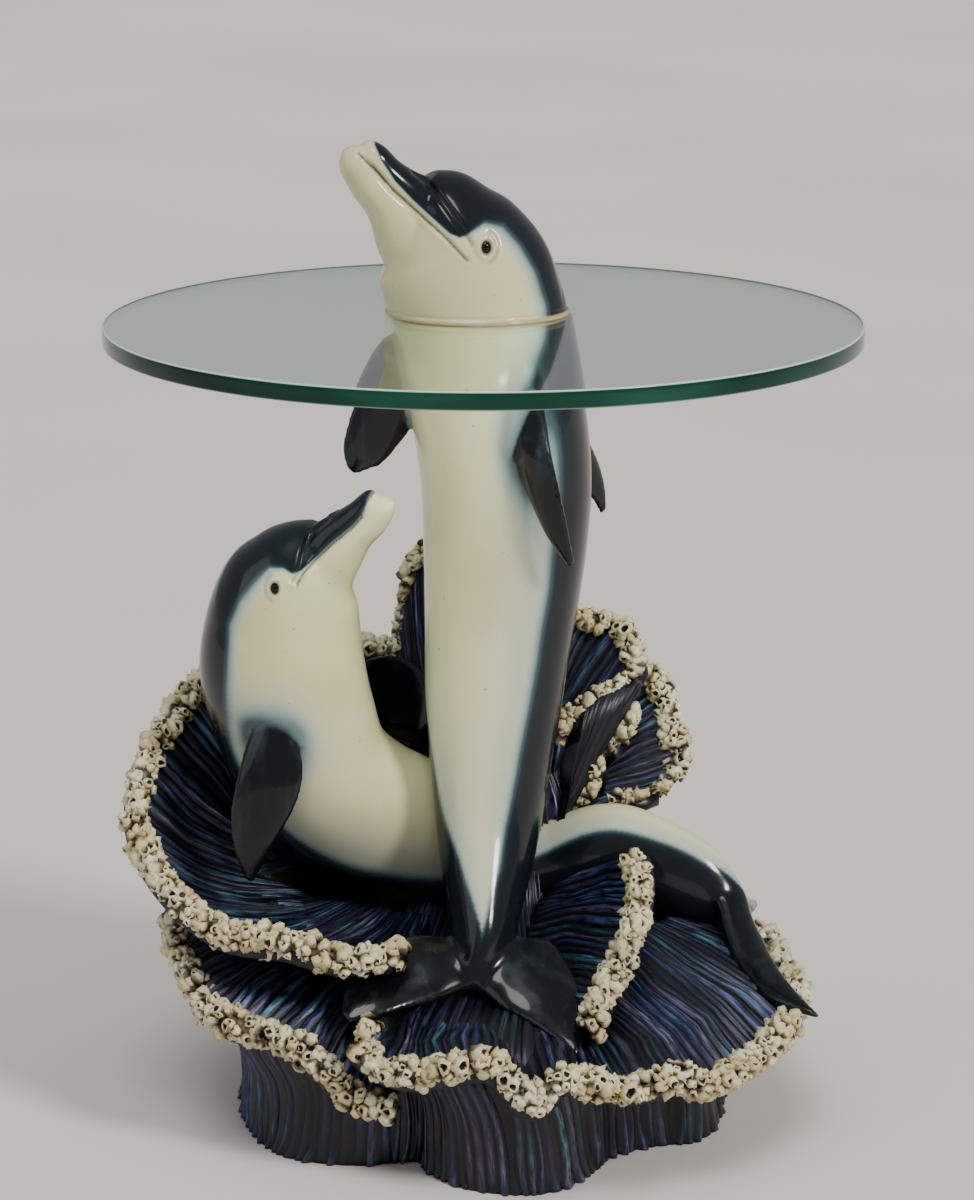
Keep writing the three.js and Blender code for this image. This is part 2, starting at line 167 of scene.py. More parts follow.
class Nodes:
    """A short way to write a node tree."""

    def __init__(self, name):
        self.material = bpy.data.materials.new(name)
        self.material.use_nodes = True
        self.tree = self.material.node_tree
        self.shader = self.tree.nodes["Principled BSDF"]

    def add(self, kind, inputs=None, **settings):
        node = self.tree.nodes.new(kind)
        for key, value in settings.items():
            setattr(node, key, value)
        for key, value in (inputs or {}).items():
            self.put(value, node.inputs[key])
        return node

    def put(self, value, socket):
        if isinstance(value, bpy.types.NodeSocket):
            self.tree.links.new(value, socket)
        else:
            socket.default_value = value

    def finish(self, **sockets):
        for key, value in sockets.items():
            self.put(value, self.shader.inputs[key.replace("_", " ")])
        return self.material

    def value_of(self, name):
        return self.add("ShaderNodeAttribute", attribute_name=name).outputs["Fac"]

    def noise(self, scale, detail=3.0, stretch=None):
        vector = self.add("ShaderNodeTexCoord").outputs["Object"]
        if stretch:
            vector = self.add("ShaderNodeMapping", {"Vector": vector, "Scale": stretch}).outputs[0]
        return self.add("ShaderNodeTexNoise", {"Vector": vector, "Scale": scale, "Detail": detail}
                        ).outputs["Fac"]

    def maths(self, operation, a, b, clamp=False):
        return self.add("ShaderNodeMath", {0: a, 1: b}, operation=operation, use_clamp=clamp
                        ).outputs[0]

    def spread(self, value, low, high, to_low=0.0, to_high=1.0):
        node = self.add("ShaderNodeMapRange", {"Value": value, "From Min": low, "From Max": high,
                                               "To Min": to_low, "To Max": to_high})
        return node.outputs[0]

    def ramp(self, value, stops):
        node = self.add("ShaderNodeValToRGB", {"Fac": value})
        ramp = node.color_ramp
        while len(ramp.elements) < len(stops):
            ramp.elements.new(0.5)
        for element, (position, code) in zip(ramp.elements, stops):
            element.position = position
            element.color = linear(code)
        return node.outputs["Color"]

    def mix(self, factor, a, b, blend="MIX"):
        node = self.add("ShaderNodeMix", data_type="RGBA", blend_type=blend)
        self.put(factor, node.inputs[0])
        self.put(a, node.inputs[6])
        self.put(b, node.inputs[7])
        return node.outputs[2]

    def bump(self, height, strength, distance):
        return self.add("ShaderNodeBump", {"Height": height, "Strength": strength,
                                           "Distance": distance}).outputs[0]


def dolphin_paint():
    n = Nodes("dolphin_paint")
    drift = n.spread(n.noise(14, 3), 0.3, 0.7, -0.035, 0.035)
    shade = n.maths("ADD", n.value_of("shade"), drift, clamp=True)
    coat = n.ramp(shade, [(0.0, "#dcd5a8"), (0.2, "#d0cfae"), (0.38, "#b3bbad"), (0.52, "#8d9f9b"),
                          (0.66, "#3f5257"), (0.8, "#19232a"), (1.0, "#10161c")])
    warm = n.mix(n.spread(n.noise(9, 2), 0.45, 0.75, 0.0, 0.3), coat, linear("#cbbf8f"), "MULTIPLY")
    cream = n.mix(n.spread(shade, 0.1, 0.4), warm, coat)
    fin = n.value_of("fin")
    slate = n.mix(fin, cream, linear("#090c10"))
    streaks = n.spread(n.noise(70, 6, (1.0, 1.0, 0.25)), 0.5, 0.72, 0.0, 0.42)
    brushed = n.mix(n.maths("MULTIPLY", streaks, fin), slate, linear("#2f3840"))
    specks = n.spread(n.noise(420, 1), 0.77, 0.8)
    speckled = n.mix(n.maths("MULTIPLY", specks, n.spread(shade, 0.5, 0.2)), brushed,
                     linear("#8a7a55"))
    lip = n.mix(n.value_of("lip"), speckled, linear("#b7a77e"))
    lined = n.mix(n.value_of("line"), lip, linear("#11161b"))
    satin = n.spread(n.noise(35, 4), 0.3, 0.7, 0.13, 0.26)
    rough = n.maths("ADD", satin, n.maths("MULTIPLY", n.maths("MULTIPLY", streaks, fin), 0.25))
    return n.finish(Base_Color=lined, Roughness=rough, Specular_IOR_Level=0.18,
                    Normal=n.bump(n.noise(160, 4), 0.1, 0.001), Coat_Weight=0.38,
                    Coat_Roughness=0.06)


def coral_paint():
    n = Nodes("coral_paint")
    crest = n.value_of("crest")
    across, along = n.value_of("across"), n.value_of("along")
    way = n.add("ShaderNodeCombineXYZ", {"X": across, "Y": along}).outputs[0]
    grain = n.add("ShaderNodeTexNoise", {"Vector": way, "Scale": 1.0, "Detail": 5.0}).outputs["Fac"]
    hue = n.maths("ADD", n.value_of("hue"), n.spread(n.noise(9, 2), 0.3, 0.7, -0.4, 0.4),
                  clamp=True)
    tint = n.ramp(hue, [(0.0, "#5a93a8"), (0.25, "#4a72a4"), (0.45, "#5a63a4"), (0.65, "#71659a"),
                        (0.85, "#746a86"), (1.0, "#4f8793")])
    body = n.ramp(hue, [(0.0, "#111c28"), (0.4, "#13162e"), (0.75, "#1e172c"), (1.0, "#121d26")])
    dry = n.maths("MULTIPLY", n.spread(crest, 0.3, 0.95), n.spread(grain, 0.4, 0.64))
    painted = n.mix(n.maths("MULTIPLY", dry, 0.95), body, tint)
    # The highest crests take a pale blue-grey: partly a rub of paint, partly a painted highlight
    # where gloss catches the light.
    crest_rub_and_highlight = n.maths("MULTIPLY", n.spread(crest, 0.75, 1.05), n.spread(grain, 0.52, 0.68))
    lit = n.mix(n.maths("MULTIPLY", crest_rub_and_highlight, 0.55), painted, linear("#93a3b8"))
    # Painted shade: the valleys between the ridges go near black.
    deep = n.mix(n.spread(crest, 0.34, 0.08), lit, linear("#030408"))
    return n.finish(Base_Color=deep, Roughness=n.spread(grain, 0.3, 0.7, 0.24, 0.46),
                    Normal=n.bump(grain, 0.5, 0.001), Metallic=0.25)


def crust_paint():
    n = Nodes("barnacle_paint")
    pit = n.value_of("pit")
    base = n.ramp(n.noise(45, 3), [(0.3, "#b8a677"), (0.5, "#d6c9a0"), (0.7, "#ede6cb")])
    grey = n.mix(n.spread(n.noise(16, 2), 0.5, 0.7, 0.0, 0.35), base, linear("#b3b1a1"))
    # Painted shade: brown, then near black, in the holes, at the cups' feet and over the core,
    # broken up by noise.
    hollow_shade = n.maths("ADD", pit, n.spread(n.noise(170, 4), 0.35, 0.7, -0.2, 0.2), clamp=True)
    shaded = n.mix(n.spread(hollow_shade, 0.3, 0.7), grey, linear("#756440"))
    dark = n.mix(n.spread(hollow_shade, 0.66, 0.92), shaded, linear("#120e09"))
    return n.finish(Base_Color=dark, Roughness=n.spread(n.noise(80, 3), 0.3, 0.7, 0.34, 0.58),
                    Normal=n.bump(n.noise(330, 6), 0.8, 0.0014))


def eye_gloss():
    n = Nodes("eye_gloss")
    colour = n.ramp(n.noise(300, 2), [(0.3, "#040404"), (0.7, "#0c0a09")])
    return n.finish(Base_Color=colour, Roughness=0.1, Specular_IOR_Level=0.35)


def clear_glass():
    n = Nodes("clear_glass")
    n.finish(Base_Color=(0.78, 0.9, 0.845, 1), Roughness=0.0, IOR=1.52,
             Transmission_Weight=1.0)
    path = n.add("ShaderNodeLightPath")
    through = n.add("ShaderNodeBsdfTransparent", {"Color": (0.9, 0.96, 0.94, 1)})
    mixed = n.add("ShaderNodeMixShader", {0: path.outputs["Is Shadow Ray"],
                                          1: n.shader.outputs[0], 2: through.outputs[0]})
    n.tree.links.new(mixed.outputs[0], n.tree.nodes["Material Output"].inputs["Surface"])
    return n.material


def glass_edge():
    n = Nodes("glass_edge")
    green = n.ramp(n.noise(9, 3, (1, 1, 3)), [(0.3, "#02261c"), (0.5, "#0a3b2e"), (0.7, "#124c3c")])
    # Painted highlight: the arrises are mixed towards pale green-white.
    colour = n.mix(n.value_of("arris"), green, linear("#cfe6dc"))
    return n.finish(Base_Color=colour, Roughness=n.spread(n.noise(40, 3), 0.3, 0.7, 0.08, 0.16),
                    Specular_IOR_Level=0.22)


# ---- dolphins ----------------------------------------------------------------------------
def facing(degrees):
    turn = math.radians(degrees)
    return [-math.sin(turn), -math.cos(turn), 0.0]


class Profile:
    """The side view of a head: h runs from the neck's axis along "turn", and z is the height.
    The face's lines are drawn as they look from the front, so "lean" says how far a line moves
    for each millimetre that the skin stands out from the middle. "hand" is the side of a line,
    drawn from the beak backwards, that the top of the head is on."""

    def __init__(self, neck, turn_degrees, lean, hand):
        turn = math.radians(turn_degrees)
        self.neck = np.array([*neck, 0.0])
        self.along = np.array([math.cos(turn), math.sin(turn), 0.0])
        self.across = np.array([-self.along[1], self.along[0], 0.0])
        self.lean = np.array(lean)
        self.hand = hand

    def at(self, h, z, n=0.0):
        return (self.neck + h * self.along + n * self.across + [0, 0, z]).tolist()

    def drawn(self, points):
        away = points - self.neck
        across = away @ self.across
        flat = np.stack([away @ self.along, points[:, 2]], -1)
        return flat + np.abs(across)[:, None] * self.lean, across


class Body:
    """A loft on a spine. A station is [x, y, z, half width, belly depth, back depth, belly way]."""

    def __init__(self, stations, step=3.0):
        t, length = even_steps([s[:3] for s in stations], [0.0, 1.0])
        t, _ = even_steps([s[:3] for s in stations], np.linspace(0, 1, int(length / step)))
        self.t = t
        self.last = len(stations) - 1
        self.centre = spline([s[:3] for s in stations], t)
        self.size = spline([s[3:6] for s in stations], t)
        self.ahead = unit(np.gradient(self.centre, axis=0))
        belly = spline([s[6] for s in stations], t)
        self.belly = unit(belly - (belly * self.ahead).sum(1, keepdims=True) * self.ahead)
        self.side = np.cross(self.ahead, self.belly)

    def skin(self, sides=72):
        angle = circle(sides)
        depth = np.where(np.cos(angle) > 0, self.size[:, 1:2], self.size[:, 2:3]) * np.cos(angle)
        width = self.size[:, 0:1] * np.sin(angle)
        return loft(self.centre[:, None] + width[..., None] * self.side[:, None]
                    + depth[..., None] * self.belly[:, None])

    def places(self, points):
        """For each point its place along the spine, its angle from the belly in degrees, and
        how far out it is, with 1 on the skin."""
        nearest = np.concatenate([
            ((chunk[:, None] - self.centre[None]) ** 2).sum(-1).argmin(1)
            for chunk in np.array_split(points, max(1, len(points) // 4000))])
        away = points - self.centre[nearest]
        wide = (away * self.side[nearest]).sum(1) / self.size[nearest, 0]
        deep = (away * self.belly[nearest]).sum(1)
        deep /= np.where(deep > 0, self.size[nearest, 1], self.size[nearest, 2])
        return self.t[nearest], np.degrees(np.arctan2(np.abs(wide), deep)), np.hypot(wide, deep)


BLADE_EDGE = 1.6


def fin_blade(stations, rows=36, sides=20):
    """A lens-shaped blade. A station is (leading edge x, y, z, trailing edge x, y, z, thickness).
    BLADE_EDGE makes up for what smoothing takes off the two thin edges."""
    t = np.linspace(0, 1, rows)
    lead = spline([s[:3] for s in stations], t)
    trail = spline([s[3:6] for s in stations], t)
    thick = spline([s[6:] for s in stations], t)
    middle = (lead + trail) / 2
    chord = trail - lead
    chord += BLADE_EDGE * unit(chord)
    normal = unit(np.cross(chord, np.gradient(middle, axis=0)))
    angle = circle(sides)
    across = -0.5 * np.cos(angle)[None, :, None] * chord[:, None]
    up = 0.5 * (thick * np.sin(angle) * (0.75 + 0.25 * np.abs(np.sin(angle))))[..., None]
    return loft(middle[:, None] + across + up * normal[:, None])


def fused(parts, voxel):
    """One skin over overlapping closed forms."""
    points, faces = merged(parts)
    mesh = bpy.data.meshes.new("fuse")
    mesh.from_pydata((points * MM).tolist(), [], faces)
    obj = bpy.data.objects.new("fuse", mesh)
    bpy.context.collection.objects.link(obj)
    remesh = obj.modifiers.new("skin", "REMESH")
    remesh.mode = "VOXEL"
    remesh.voxel_size = voxel * MM
    result = bpy.data.meshes.new_from_object(obj.evaluated_get(
        bpy.context.evaluated_depsgraph_get()))
    points = np.empty(len(result.vertices) * 3)
    result.vertices.foreach_get("co", points)
    faces = [tuple(p.vertices) for p in result.polygons]
    edges = np.empty(len(result.edges) * 2, int)
    result.edges.foreach_get("vertices", edges)
    bpy.data.objects.remove(obj)
    bpy.data.meshes.remove(mesh)
    bpy.data.meshes.remove(result)
    return points.reshape(-1, 3) / MM, faces, edges.reshape(-1, 2)


def relax(points, edges, weight, rounds):
    """Moves each point by its weight towards the middle of its neighbours."""
    a, b = edges.T
    count = np.bincount(edges.ravel(), minlength=len(points))[:, None]
    weight = np.broadcast_to(np.asarray(weight, float), (len(points),))[:, None]
    for _ in range(rounds):
        near = np.stack([np.bincount(a, points[b, k], len(points))
                         + np.bincount(b, points[a, k], len(points)) for k in range(3)], -1)
        points = points + weight * (near / count - points)
    return points


def even_out(points, edges, rounds):
    """Smooths the voxel steps away without shrinking the form."""
    for _ in range(rounds):
        points = relax(points, edges, 0.5, 1)
        points = relax(points, edges, -0.52, 1)
    return points


def normals_of(points, faces):
    quads = np.array([f if len(f) == 4 else (*f, f[-1]) for f in faces if len(f) < 5])
    across = np.cross(points[quads[:, 2]] - points[quads[:, 0]],
                      points[quads[:, 3]] - points[quads[:, 1]])
    total = np.zeros_like(points)
    for k in range(4):
        for axis in range(3):
            total[:, axis] += np.bincount(quads[:, k], across[:, axis], len(points))
    return unit(total)


def distance_to_line(flat, line):
    """Distance of 2-D points from a polyline, and on which side of it they lie."""
    line = np.asarray(line, float)
    best = np.full(len(flat), 1e9)
    side = np.zeros(len(flat))
    for a, b in zip(line[:-1], line[1:]):
        along = b - a
        t = np.clip(((flat - a) @ along) / (along @ along), 0, 1)
        away = flat - a - t[:, None] * along
        distance = np.linalg.norm(away, axis=1)
        closer = distance < best
        best[closer] = distance[closer]
        side[closer] = np.sign(along[0] * away[closer, 1] - along[1] * away[closer, 0])
    return best, side


TALL = Profile((-4, 30), 12, (0.21, -0.15), 1)
SMALL = Profile((-137, 0), -20, (-0.34, -0.25), -1)
TALL_FACE = facing(78)
SMALL_FACE = SMALL.along.tolist()
JAW_STEP = 2
JAW_SIDES = 48
SHOULDER_SIDES = 32


def head_stations(profile, face, rows):
    """Stations on a head's side view, from rows of (h, z, half width, belly depth, back depth)."""
    return [[*profile.at(h, z), *sizes, face] for h, z, *sizes in rows]


tall_stations = [
    [-5, -106, 118, 9, 9, 9, [0, -0.5, 1]],
    [-3, -92, 130, 15, 22, 22, [0, -0.7, 0.7]],
    [0, -76, 146, 21, 30, 30, [-0.05, -1, 0.5]],
    [1, -52, 171, 28, 36, 36, [-0.1, -1, 0.25]],
    [3, -27, 205, 35, 41, 41, facing(14)],
    [5, -10, 245, 41, 45, 44, facing(20)],
    [7, 4, 290, 47, 49, 48, facing(26)],
    [11, 14, 340, 51, 53, 52, facing(32)],
    [15, 20, 400, 56, 57, 57, facing(40)],
    [15, 23, 450, 58, 59, 59, facing(50)],
    [7, 26, 505, 58, 60, 60, facing(65)],
] + head_stations(TALL, TALL_FACE, [
    (0, 555, 55, 60, 60), (-5, 582, 53, 61, 56), (-13, 604, 48, 59, 47), (-22, 620, 40, 47, 36),
    (-31, 634, 28, 27, 27), (-38, 643, 13, 11, 14),
])
tall_upper_jaw = head_stations(TALL, TALL_FACE, [
    (-26, 616, 26, 22, 22), (-40, 628, 24, 18, 20), (-51, 638, 19, 13, 17), (-62, 651, 15, 10, 12),
    (-70, 662, 13, 9, 10), (-75, 668, 9, 7, 7), (-78, 671, 3, 3, 3),
])
tall_lower_jaw = head_stations(TALL, TALL_FACE, [
    (-30, 600, 28, 36, 22), (-47, 615, 25, 28, 17), (-62, 631, 20, 16, 13), (-74, 646, 16, 14, 10),
    (-83, 659, 14, 12, 10), (-87, 665, 9, 8, 8), (-89, 668, 3, 3, 3),
])
tall_shoulder = [
    [26, -24, 520, 9, 9, 9, [0, -1, 0]],
    [25, -30, 496, 11, 11, 11, [0, -1, 0]],
    [20, -32, 476, 9, 9, 9, [0, -1, 0]],
    [17, -32, 462, 3, 3, 3, [0, -1, 0]],
]
tall_fins = [
    [(38, -18, 520, 14, -20, 478, 16), (42, -52, 484, 25, -34, 456, 14),
     (49, -58, 452, 34, -43, 436, 12), (55, -57, 426, 44, -49, 416, 9),
     (60, -52, 400, 57, -50, 398, 4)],
    [(-34, 36, 537, -34, 36, 490, 17), (-66, 30, 528, -50, 31, 474, 14),
     (-85, 26, 498, -68, 27, 453, 11), (-95, 23, 466, -82, 24, 447, 8),
     (-93, 22, 450, -88, 22, 445, 4)],
    [(42, 54, 486, 42, 54, 412, 16), (62, 79, 470, 57, 73, 425, 12), (76, 94, 447, 69, 87, 421, 9),
     (84, 101, 423, 78, 96, 410, 7), (86, 102, 403, 83, 100, 400, 4)],
    [(14, -76, 146, -6, -108, 121, 18), (45, -80, 144, 10, -122, 114, 15),
     (63, -104, 124, 26, -131, 109, 12), (68, -127, 111, 44, -145, 102, 9),
     (66, -146, 99, 55, -154, 96, 7), (62, -157, 92, 60, -158, 92, 4)],
    [(-16, -76, 146, -4, -108, 121, 18), (-50, -82, 148, -20, -116, 120, 15),
     (-76, -97, 138, -45, -126, 116, 12), (-91, -113, 128, -67, -136, 113, 9),
     (-94, -134, 113, -88, -141, 109, 5)],
]

small_stations = head_stations(SMALL, SMALL_FACE, [
    (26, 413, 12, 8, 9), (19, 404, 26, 30, 21), (11, 391, 36, 43, 33), (4, 373, 43, 50, 46),
    (0, 345, 49, 54, 54),
]) + [
    [-137, 0, 313, 54, 57, 59, [0.88, -0.48, 0]],
    [-131, 5, 280, 55, 57, 57, [0.75, -0.66, 0.1]],
    [-118, 13, 240, 53, 56, 56, [0.65, -0.62, 0.4]],
    [-93, 26, 207, 50, 62, 51, [0.45, -0.55, 0.7]],
    [-60, 36, 184, 46, 63, 46, [0.25, -0.45, 0.86]],
    [-26, 45, 164, 41, 54, 40, [0.05, -0.25, 0.97]],
    [10, 49, 153, 34, 38, 36, [0, 0, 1]],
    [50, 47, 160, 28, 31, 34, [0, 0.15, 1]],
    [90, 37, 173, 25, 31, 35, [0.05, 0.2, 1]],
    [120, 27, 167, 21, 29, 33, [0.25, 0.2, 1]],
    [146, 20, 154, 18, 28, 28, [0.45, 0.15, 1]],
    [166, 15, 141, 14, 20, 21, [0.6, 0.1, 1]],
    [181, 10, 127, 10, 11, 12, [0.6, 0.1, 1]],
]
small_upper_jaw = head_stations(SMALL, SMALL_FACE, [
    (20, 388, 21, 18, 18), (32, 402, 18, 15, 16), (44, 414, 15, 12, 13), (57, 426, 12, 9, 10),
    (67, 437, 9, 7, 8), (70, 441, 4, 4, 4),
])
small_lower_jaw = head_stations(SMALL, SMALL_FACE, [
    (26, 380, 22, 25, 18), (42, 396, 20, 17, 14), (56, 410, 16, 10, 11), (67, 422, 13, 10, 10),
    (75, 433, 10, 8, 8), (78, 438, 5, 5, 5),
])
small_shoulder = [
    [-140, -36, 306, 5, 5, 5, [0, -1, 0]],
    [-141, -44, 292, 13, 9, 9, [0, -1, 0]],
    [-138, -50, 276, 12, 8, 8, [0, -1, 0]],
    [-136, -50, 262, 4, 4, 4, [0, -1, 0]],
]
small_fins = [
    [(-146, -36, 304, -134, -38, 302, 14), (-156, -46, 284, -126, -50, 280, 16),
     (-164, -56, 258, -122, -58, 258, 14), (-170, -60, 228, -126, -63, 238, 12),
     (-168, -64, 204, -139, -66, 213, 9), (-161, -66, 184, -156, -66, 182, 4)],
    [(-98, 34, 304, -92, 34, 252, 16), (-66, 58, 307, -62, 56, 248, 13),
     (-42, 72, 291, -42, 69, 234, 11), (-26, 80, 264, -32, 78, 230, 8),
     (-23, 82, 240, -25, 82, 234, 4)],
    [(-148, 40, 262, -118, 48, 196, 16), (-172, 58, 236, -150, 62, 200, 11),
     (-186, 70, 214, -176, 72, 196, 7), (-192, 76, 198, -190, 77, 193, 3)],
    [(160, 4, 150, 186, 12, 132, 18), (167, -20, 125, 193, -8, 121, 16),
     (177, -43, 107, 201, -36, 111, 13), (191, -65, 98, 211, -62, 104, 10),
     (209, -80, 96, 219, -78, 99, 7), (225, -90, 94, 227, -89, 94, 3)],
    [(162, 18, 142, 182, 18, 126, 14), (164, 44, 134, 190, 40, 124, 12),
     (172, 64, 126, 194, 60, 120, 9), (184, 78, 120, 196, 76, 117, 6),
     (193, 86, 116, 197, 85, 115, 4)],
]

# The lines of each face as drawn on the head's side view, from the beak back, its eye, and how
# far it goes: it fades in between two heights of the neck and ends at a reach from the axis.
TALL_FACE_LINES = {
    "mouth": [(-80, 665), (-68, 652), (-58, 640), (-46, 629), (-33, 617), (-20, 605), (-10, 594),
              (-7, 591)],
    "crease": [(-43, 652), (-35, 645), (-25, 633), (-15, 619), (-8, 608), (-4, 601)],
    "dark": [(-71, 690), (-70, 670), (-65, 659), (-56, 645), (-44, 632), (-31, 620), (-19, 609),
             (-12, 606), (-4, 609), (5, 614), (16, 611), (27, 599), (37, 581), (44, 560),
             (50, 530)],
    "eye": (6, 599), "eye_size": 3.7, "eyeball": 3.8,
    "neck": (556, 570), "reach": 200,
}
SMALL_FACE_LINES = {
    "mouth": [(70, 446), (62, 434), (59, 424), (52, 416), (38, 404), (27, 393), (18, 382),
              (14, 374)],
    "crease": [(34, 421), (27, 415), (21, 407), (18, 397), (16, 386), (11, 377)],
    "dark": [(70, 449), (63, 436), (59, 425), (52, 417), (38, 405), (27, 394), (17, 384),
             (10, 381), (4, 384), (-5, 383), (-15, 372), (-26, 358), (-33, 342), (-34, 320),
             (-36, 290), (-38, 250)],
    "eye": (-2, 370), "eye_size": 3.4, "eyeball": 3.5,
    "neck": (340, 352), "reach": 95,
}
EYE_TALLER = 1.35       # an eye's opening, height to length
EYE_OUT = 15            # no part of an eye is nearer to the middle of the head than this
MOUTH_DEPTH, MOUTH_WIDTH = 1.3, 1.0
LIP_RISE, LIP_PLACE, LIP_WIDTH = 0.4, 3.2, 1.6
CREASE_DEPTH, CREASE_WIDTH = 1.7, 2.0
BROW_RISE, BROW_WIDTH = 1.2, 11
# Where the lower jaw runs into the throat: (h, z, n) of each head.
THROAT_OF_TALL = [(-66, 594, 0), (-58, 594, -20), (-58, 594, 20)]
THROAT_OF_SMALL = [(54, 372, 0), (46, 372, -22), (46, 372, 22)]


def carve_face(points, faces, profile, lines):
    """Cuts the mouth line, the crease behind the beak and the eyelids into a head, and returns
    the points, how dark each line is painted, and how far on the dark side each point is."""
    normal = normals_of(points, faces)
    flat, across = profile.drawn(points)
    mouth, _ = distance_to_line(flat, lines["mouth"])
    crease, crease_side = distance_to_line(flat, lines["crease"])
    dark, side = distance_to_line(flat, lines["dark"])
    groove = MOUTH_DEPTH * bell(mouth, MOUTH_WIDTH) - LIP_RISE * bell(mouth - LIP_PLACE, LIP_WIDTH)
    groove += CREASE_DEPTH * bell(crease, CREASE_WIDTH) * ease(1, 7, np.abs(across))
    brow = ease(0, 3.5, crease * crease_side * profile.hand)
    groove -= BROW_RISE * brow * bell(crease, BROW_WIDTH)
    # The eye's own measure is 1 at the edge of its opening. A raised rim runs round it, and its
    # lids fold only behind it.
    size = lines["eye_size"]
    eye = np.hypot(flat[:, 0] - lines["eye"][0], (flat[:, 1] - lines["eye"][1]) / EYE_TALLER)
    eye = np.where(np.abs(across) > EYE_OUT, eye / size, 9)
    behind = ease(-0.4, 1.0, (flat[:, 0] - lines["eye"][0]) * profile.hand / size)
    lid = 0.8 * bell(eye - 1.35, 0.3) - 1.7 * bell(eye, 0.95, 4)
    lid -= 0.5 * behind * bell(eye - 2.05, 0.35)
    lid += 0.5 * behind * bell(eye - 2.7, 0.5)
    head = ease(*lines["neck"], flat[:, 1]) * (np.abs(flat[:, 0]) < lines["reach"])
    points = points + normal * ((lid - groove) * head)[:, None]
    line = np.maximum(0.9 * bell(mouth, 0.95), 0.45 * bell(crease, 1.2))
    line = np.maximum(line, 0.95 * bell(eye, 1.1, 6))
    line = np.maximum(line, 0.4 * behind * bell(eye - 2.05, 0.3))
    soft = 2.5 + 11 * ease(-15, 22, flat[:, 0] * profile.hand)
    cap = ease(-1, 1, dark * side * profile.hand / soft)
    return points, line * head, cap


FAR = 60.0
FIN_MARGIN = 30         # how far round a fin its halo is worked out
# The halo is partly airbrushed dark and partly painted shade where a fin shades the body beside it.
SHADE_HALO_WIDTH = 14


def distance_from(tree, points):
    """How far each point is from a surface, up to FAR."""
    found = [tree.find_nearest(point, FAR)[3] for point in points.tolist()]
    return np.array([FAR if distance is None else distance for distance in found])


def near_fins(body, points, fins):
    """How far each point belongs to a fin, and the soft dark halo round each fin root, partly
    airbrushed dark and partly painted shade.
    """
    _, _, out = body.places(points)
    fin = np.zeros(len(points))
    shade_halo = np.zeros(len(points))
    for stations in fins:
        blade, faces = fin_blade(stations)
        tree = BVHTree.FromPolygons(blade.tolist(), faces)
        low, high = blade.min(0) - FIN_MARGIN, blade.max(0) + FIN_MARGIN
        close = np.flatnonzero(((points > low) & (points < high)).all(1))
        gap = distance_from(tree, points[close])
        on_blade = ease(4.5, 1.5, gap) * ease(1.0, 1.1, out[close])
        fin[close] = np.maximum(fin[close], on_blade)
        # Painted shade over airbrush: the skin darkens close to the blade.
        shade_halo[close] = np.maximum(shade_halo[close], bell(gap, SHADE_HALO_WIDTH))
    return fin, shade_halo


PALE_EDGE_SOFT = 19     # degrees
# A greyer band inside each edge of the pale belly is painted shade where the body turns away from
# the light.
FLANK_PAINTED_SHADE = 0.34


def paint_body(body, points, fins, edges_of_pale, shade_halo_strength):
    """How dark the paint is: the airbrushed pale belly ends at an angle given along the spine, and
    painted shade darkens its edges and the skin round the fin roots.
    """
    t, angle, _ = body.places(points)
    stations, limits = zip(*edges_of_pale)
    limit = np.interp(t, np.array(stations) / body.last, limits)
    shade = ease(-PALE_EDGE_SOFT, PALE_EDGE_SOFT, angle - limit)
    # Painted shade: the pale belly greys towards its edges.
    shade = np.maximum(shade, FLANK_PAINTED_SHADE * ease(-60, 0, angle - limit))
    fin, shade_halo = near_fins(body, points, fins)
    # The halo's painted shade, with the airbrushed dark, darkens the skin round the fin roots.
    shade = 1 - (1 - shade) * (1 - shade_halo_strength * shade_halo)
    return np.maximum(shade, fin), fin, t


BALL_ROWS, BALL_SIDES = 18, 28


def eyeballs(profile, lines, points):
    """Both eyeballs, sunk in the sockets. Their depth comes from the skin beside the eye."""
    radius = lines["eyeball"]
    flat, across = profile.drawn(points)
    near = np.hypot(flat[:, 0] - lines["eye"][0], flat[:, 1] - lines["eye"][1]) < 1.1 * radius
    u = np.linspace(0, np.pi, BALL_ROWS)[1:-1, None]
    v = circle(BALL_SIDES)[None]
    ring = np.stack([np.cos(v) * np.sin(u), np.sin(v) * np.sin(u), np.cos(u) + 0 * v], -1)
    parts = []
    for hand in (-1, 1):
        socket = points[near & (across * hand > EYE_OUT)].mean(0)
        centre = socket - hand * 0.45 * radius * profile.across
        parts.append(loft(centre + ring * [radius, radius, 1.25 * radius]))
    return merged(parts)


def stop_at(points, faces, keep, level):
    """The half of a skin above or below a level, cut flat and closed with a lid."""
    mesh = bpy.data.meshes.new("cut")
    mesh.from_pydata(points.tolist(), [], faces)
    bm = bmesh.new()
    bm.from_mesh(mesh)
    normal = (0, 0, 1) if keep == "below" else (0, 0, -1)
    cut = bmesh.ops.bisect_plane(bm, geom=bm.verts[:] + bm.edges[:] + bm.faces[:],
                                 plane_co=(0, 0, level), plane_no=normal, clear_outer=True)
    rim = [e for e in cut["geom_cut"] if isinstance(e, bmesh.types.BMEdge)]
    bmesh.ops.holes_fill(bm, edges=rim)
    bm.to_mesh(mesh)
    bm.free()
    out = np.empty(len(mesh.vertices) * 3)
    mesh.vertices.foreach_get("co", out)
    kept = [tuple(p.vertices) for p in mesh.polygons]
    bpy.data.meshes.remove(mesh)
    return out.reshape(-1, 3), kept


def softened(points, edges, centres, radius):
    """Smooths the skin round each of these places."""
    weight = np.zeros(len(points))
    for centre in centres:
        away = np.linalg.norm(points - np.array(centre), axis=1)
        weight = np.maximum(weight, bell(away, radius, 4))
    return relax(points, edges, 0.6 * weight, 30)


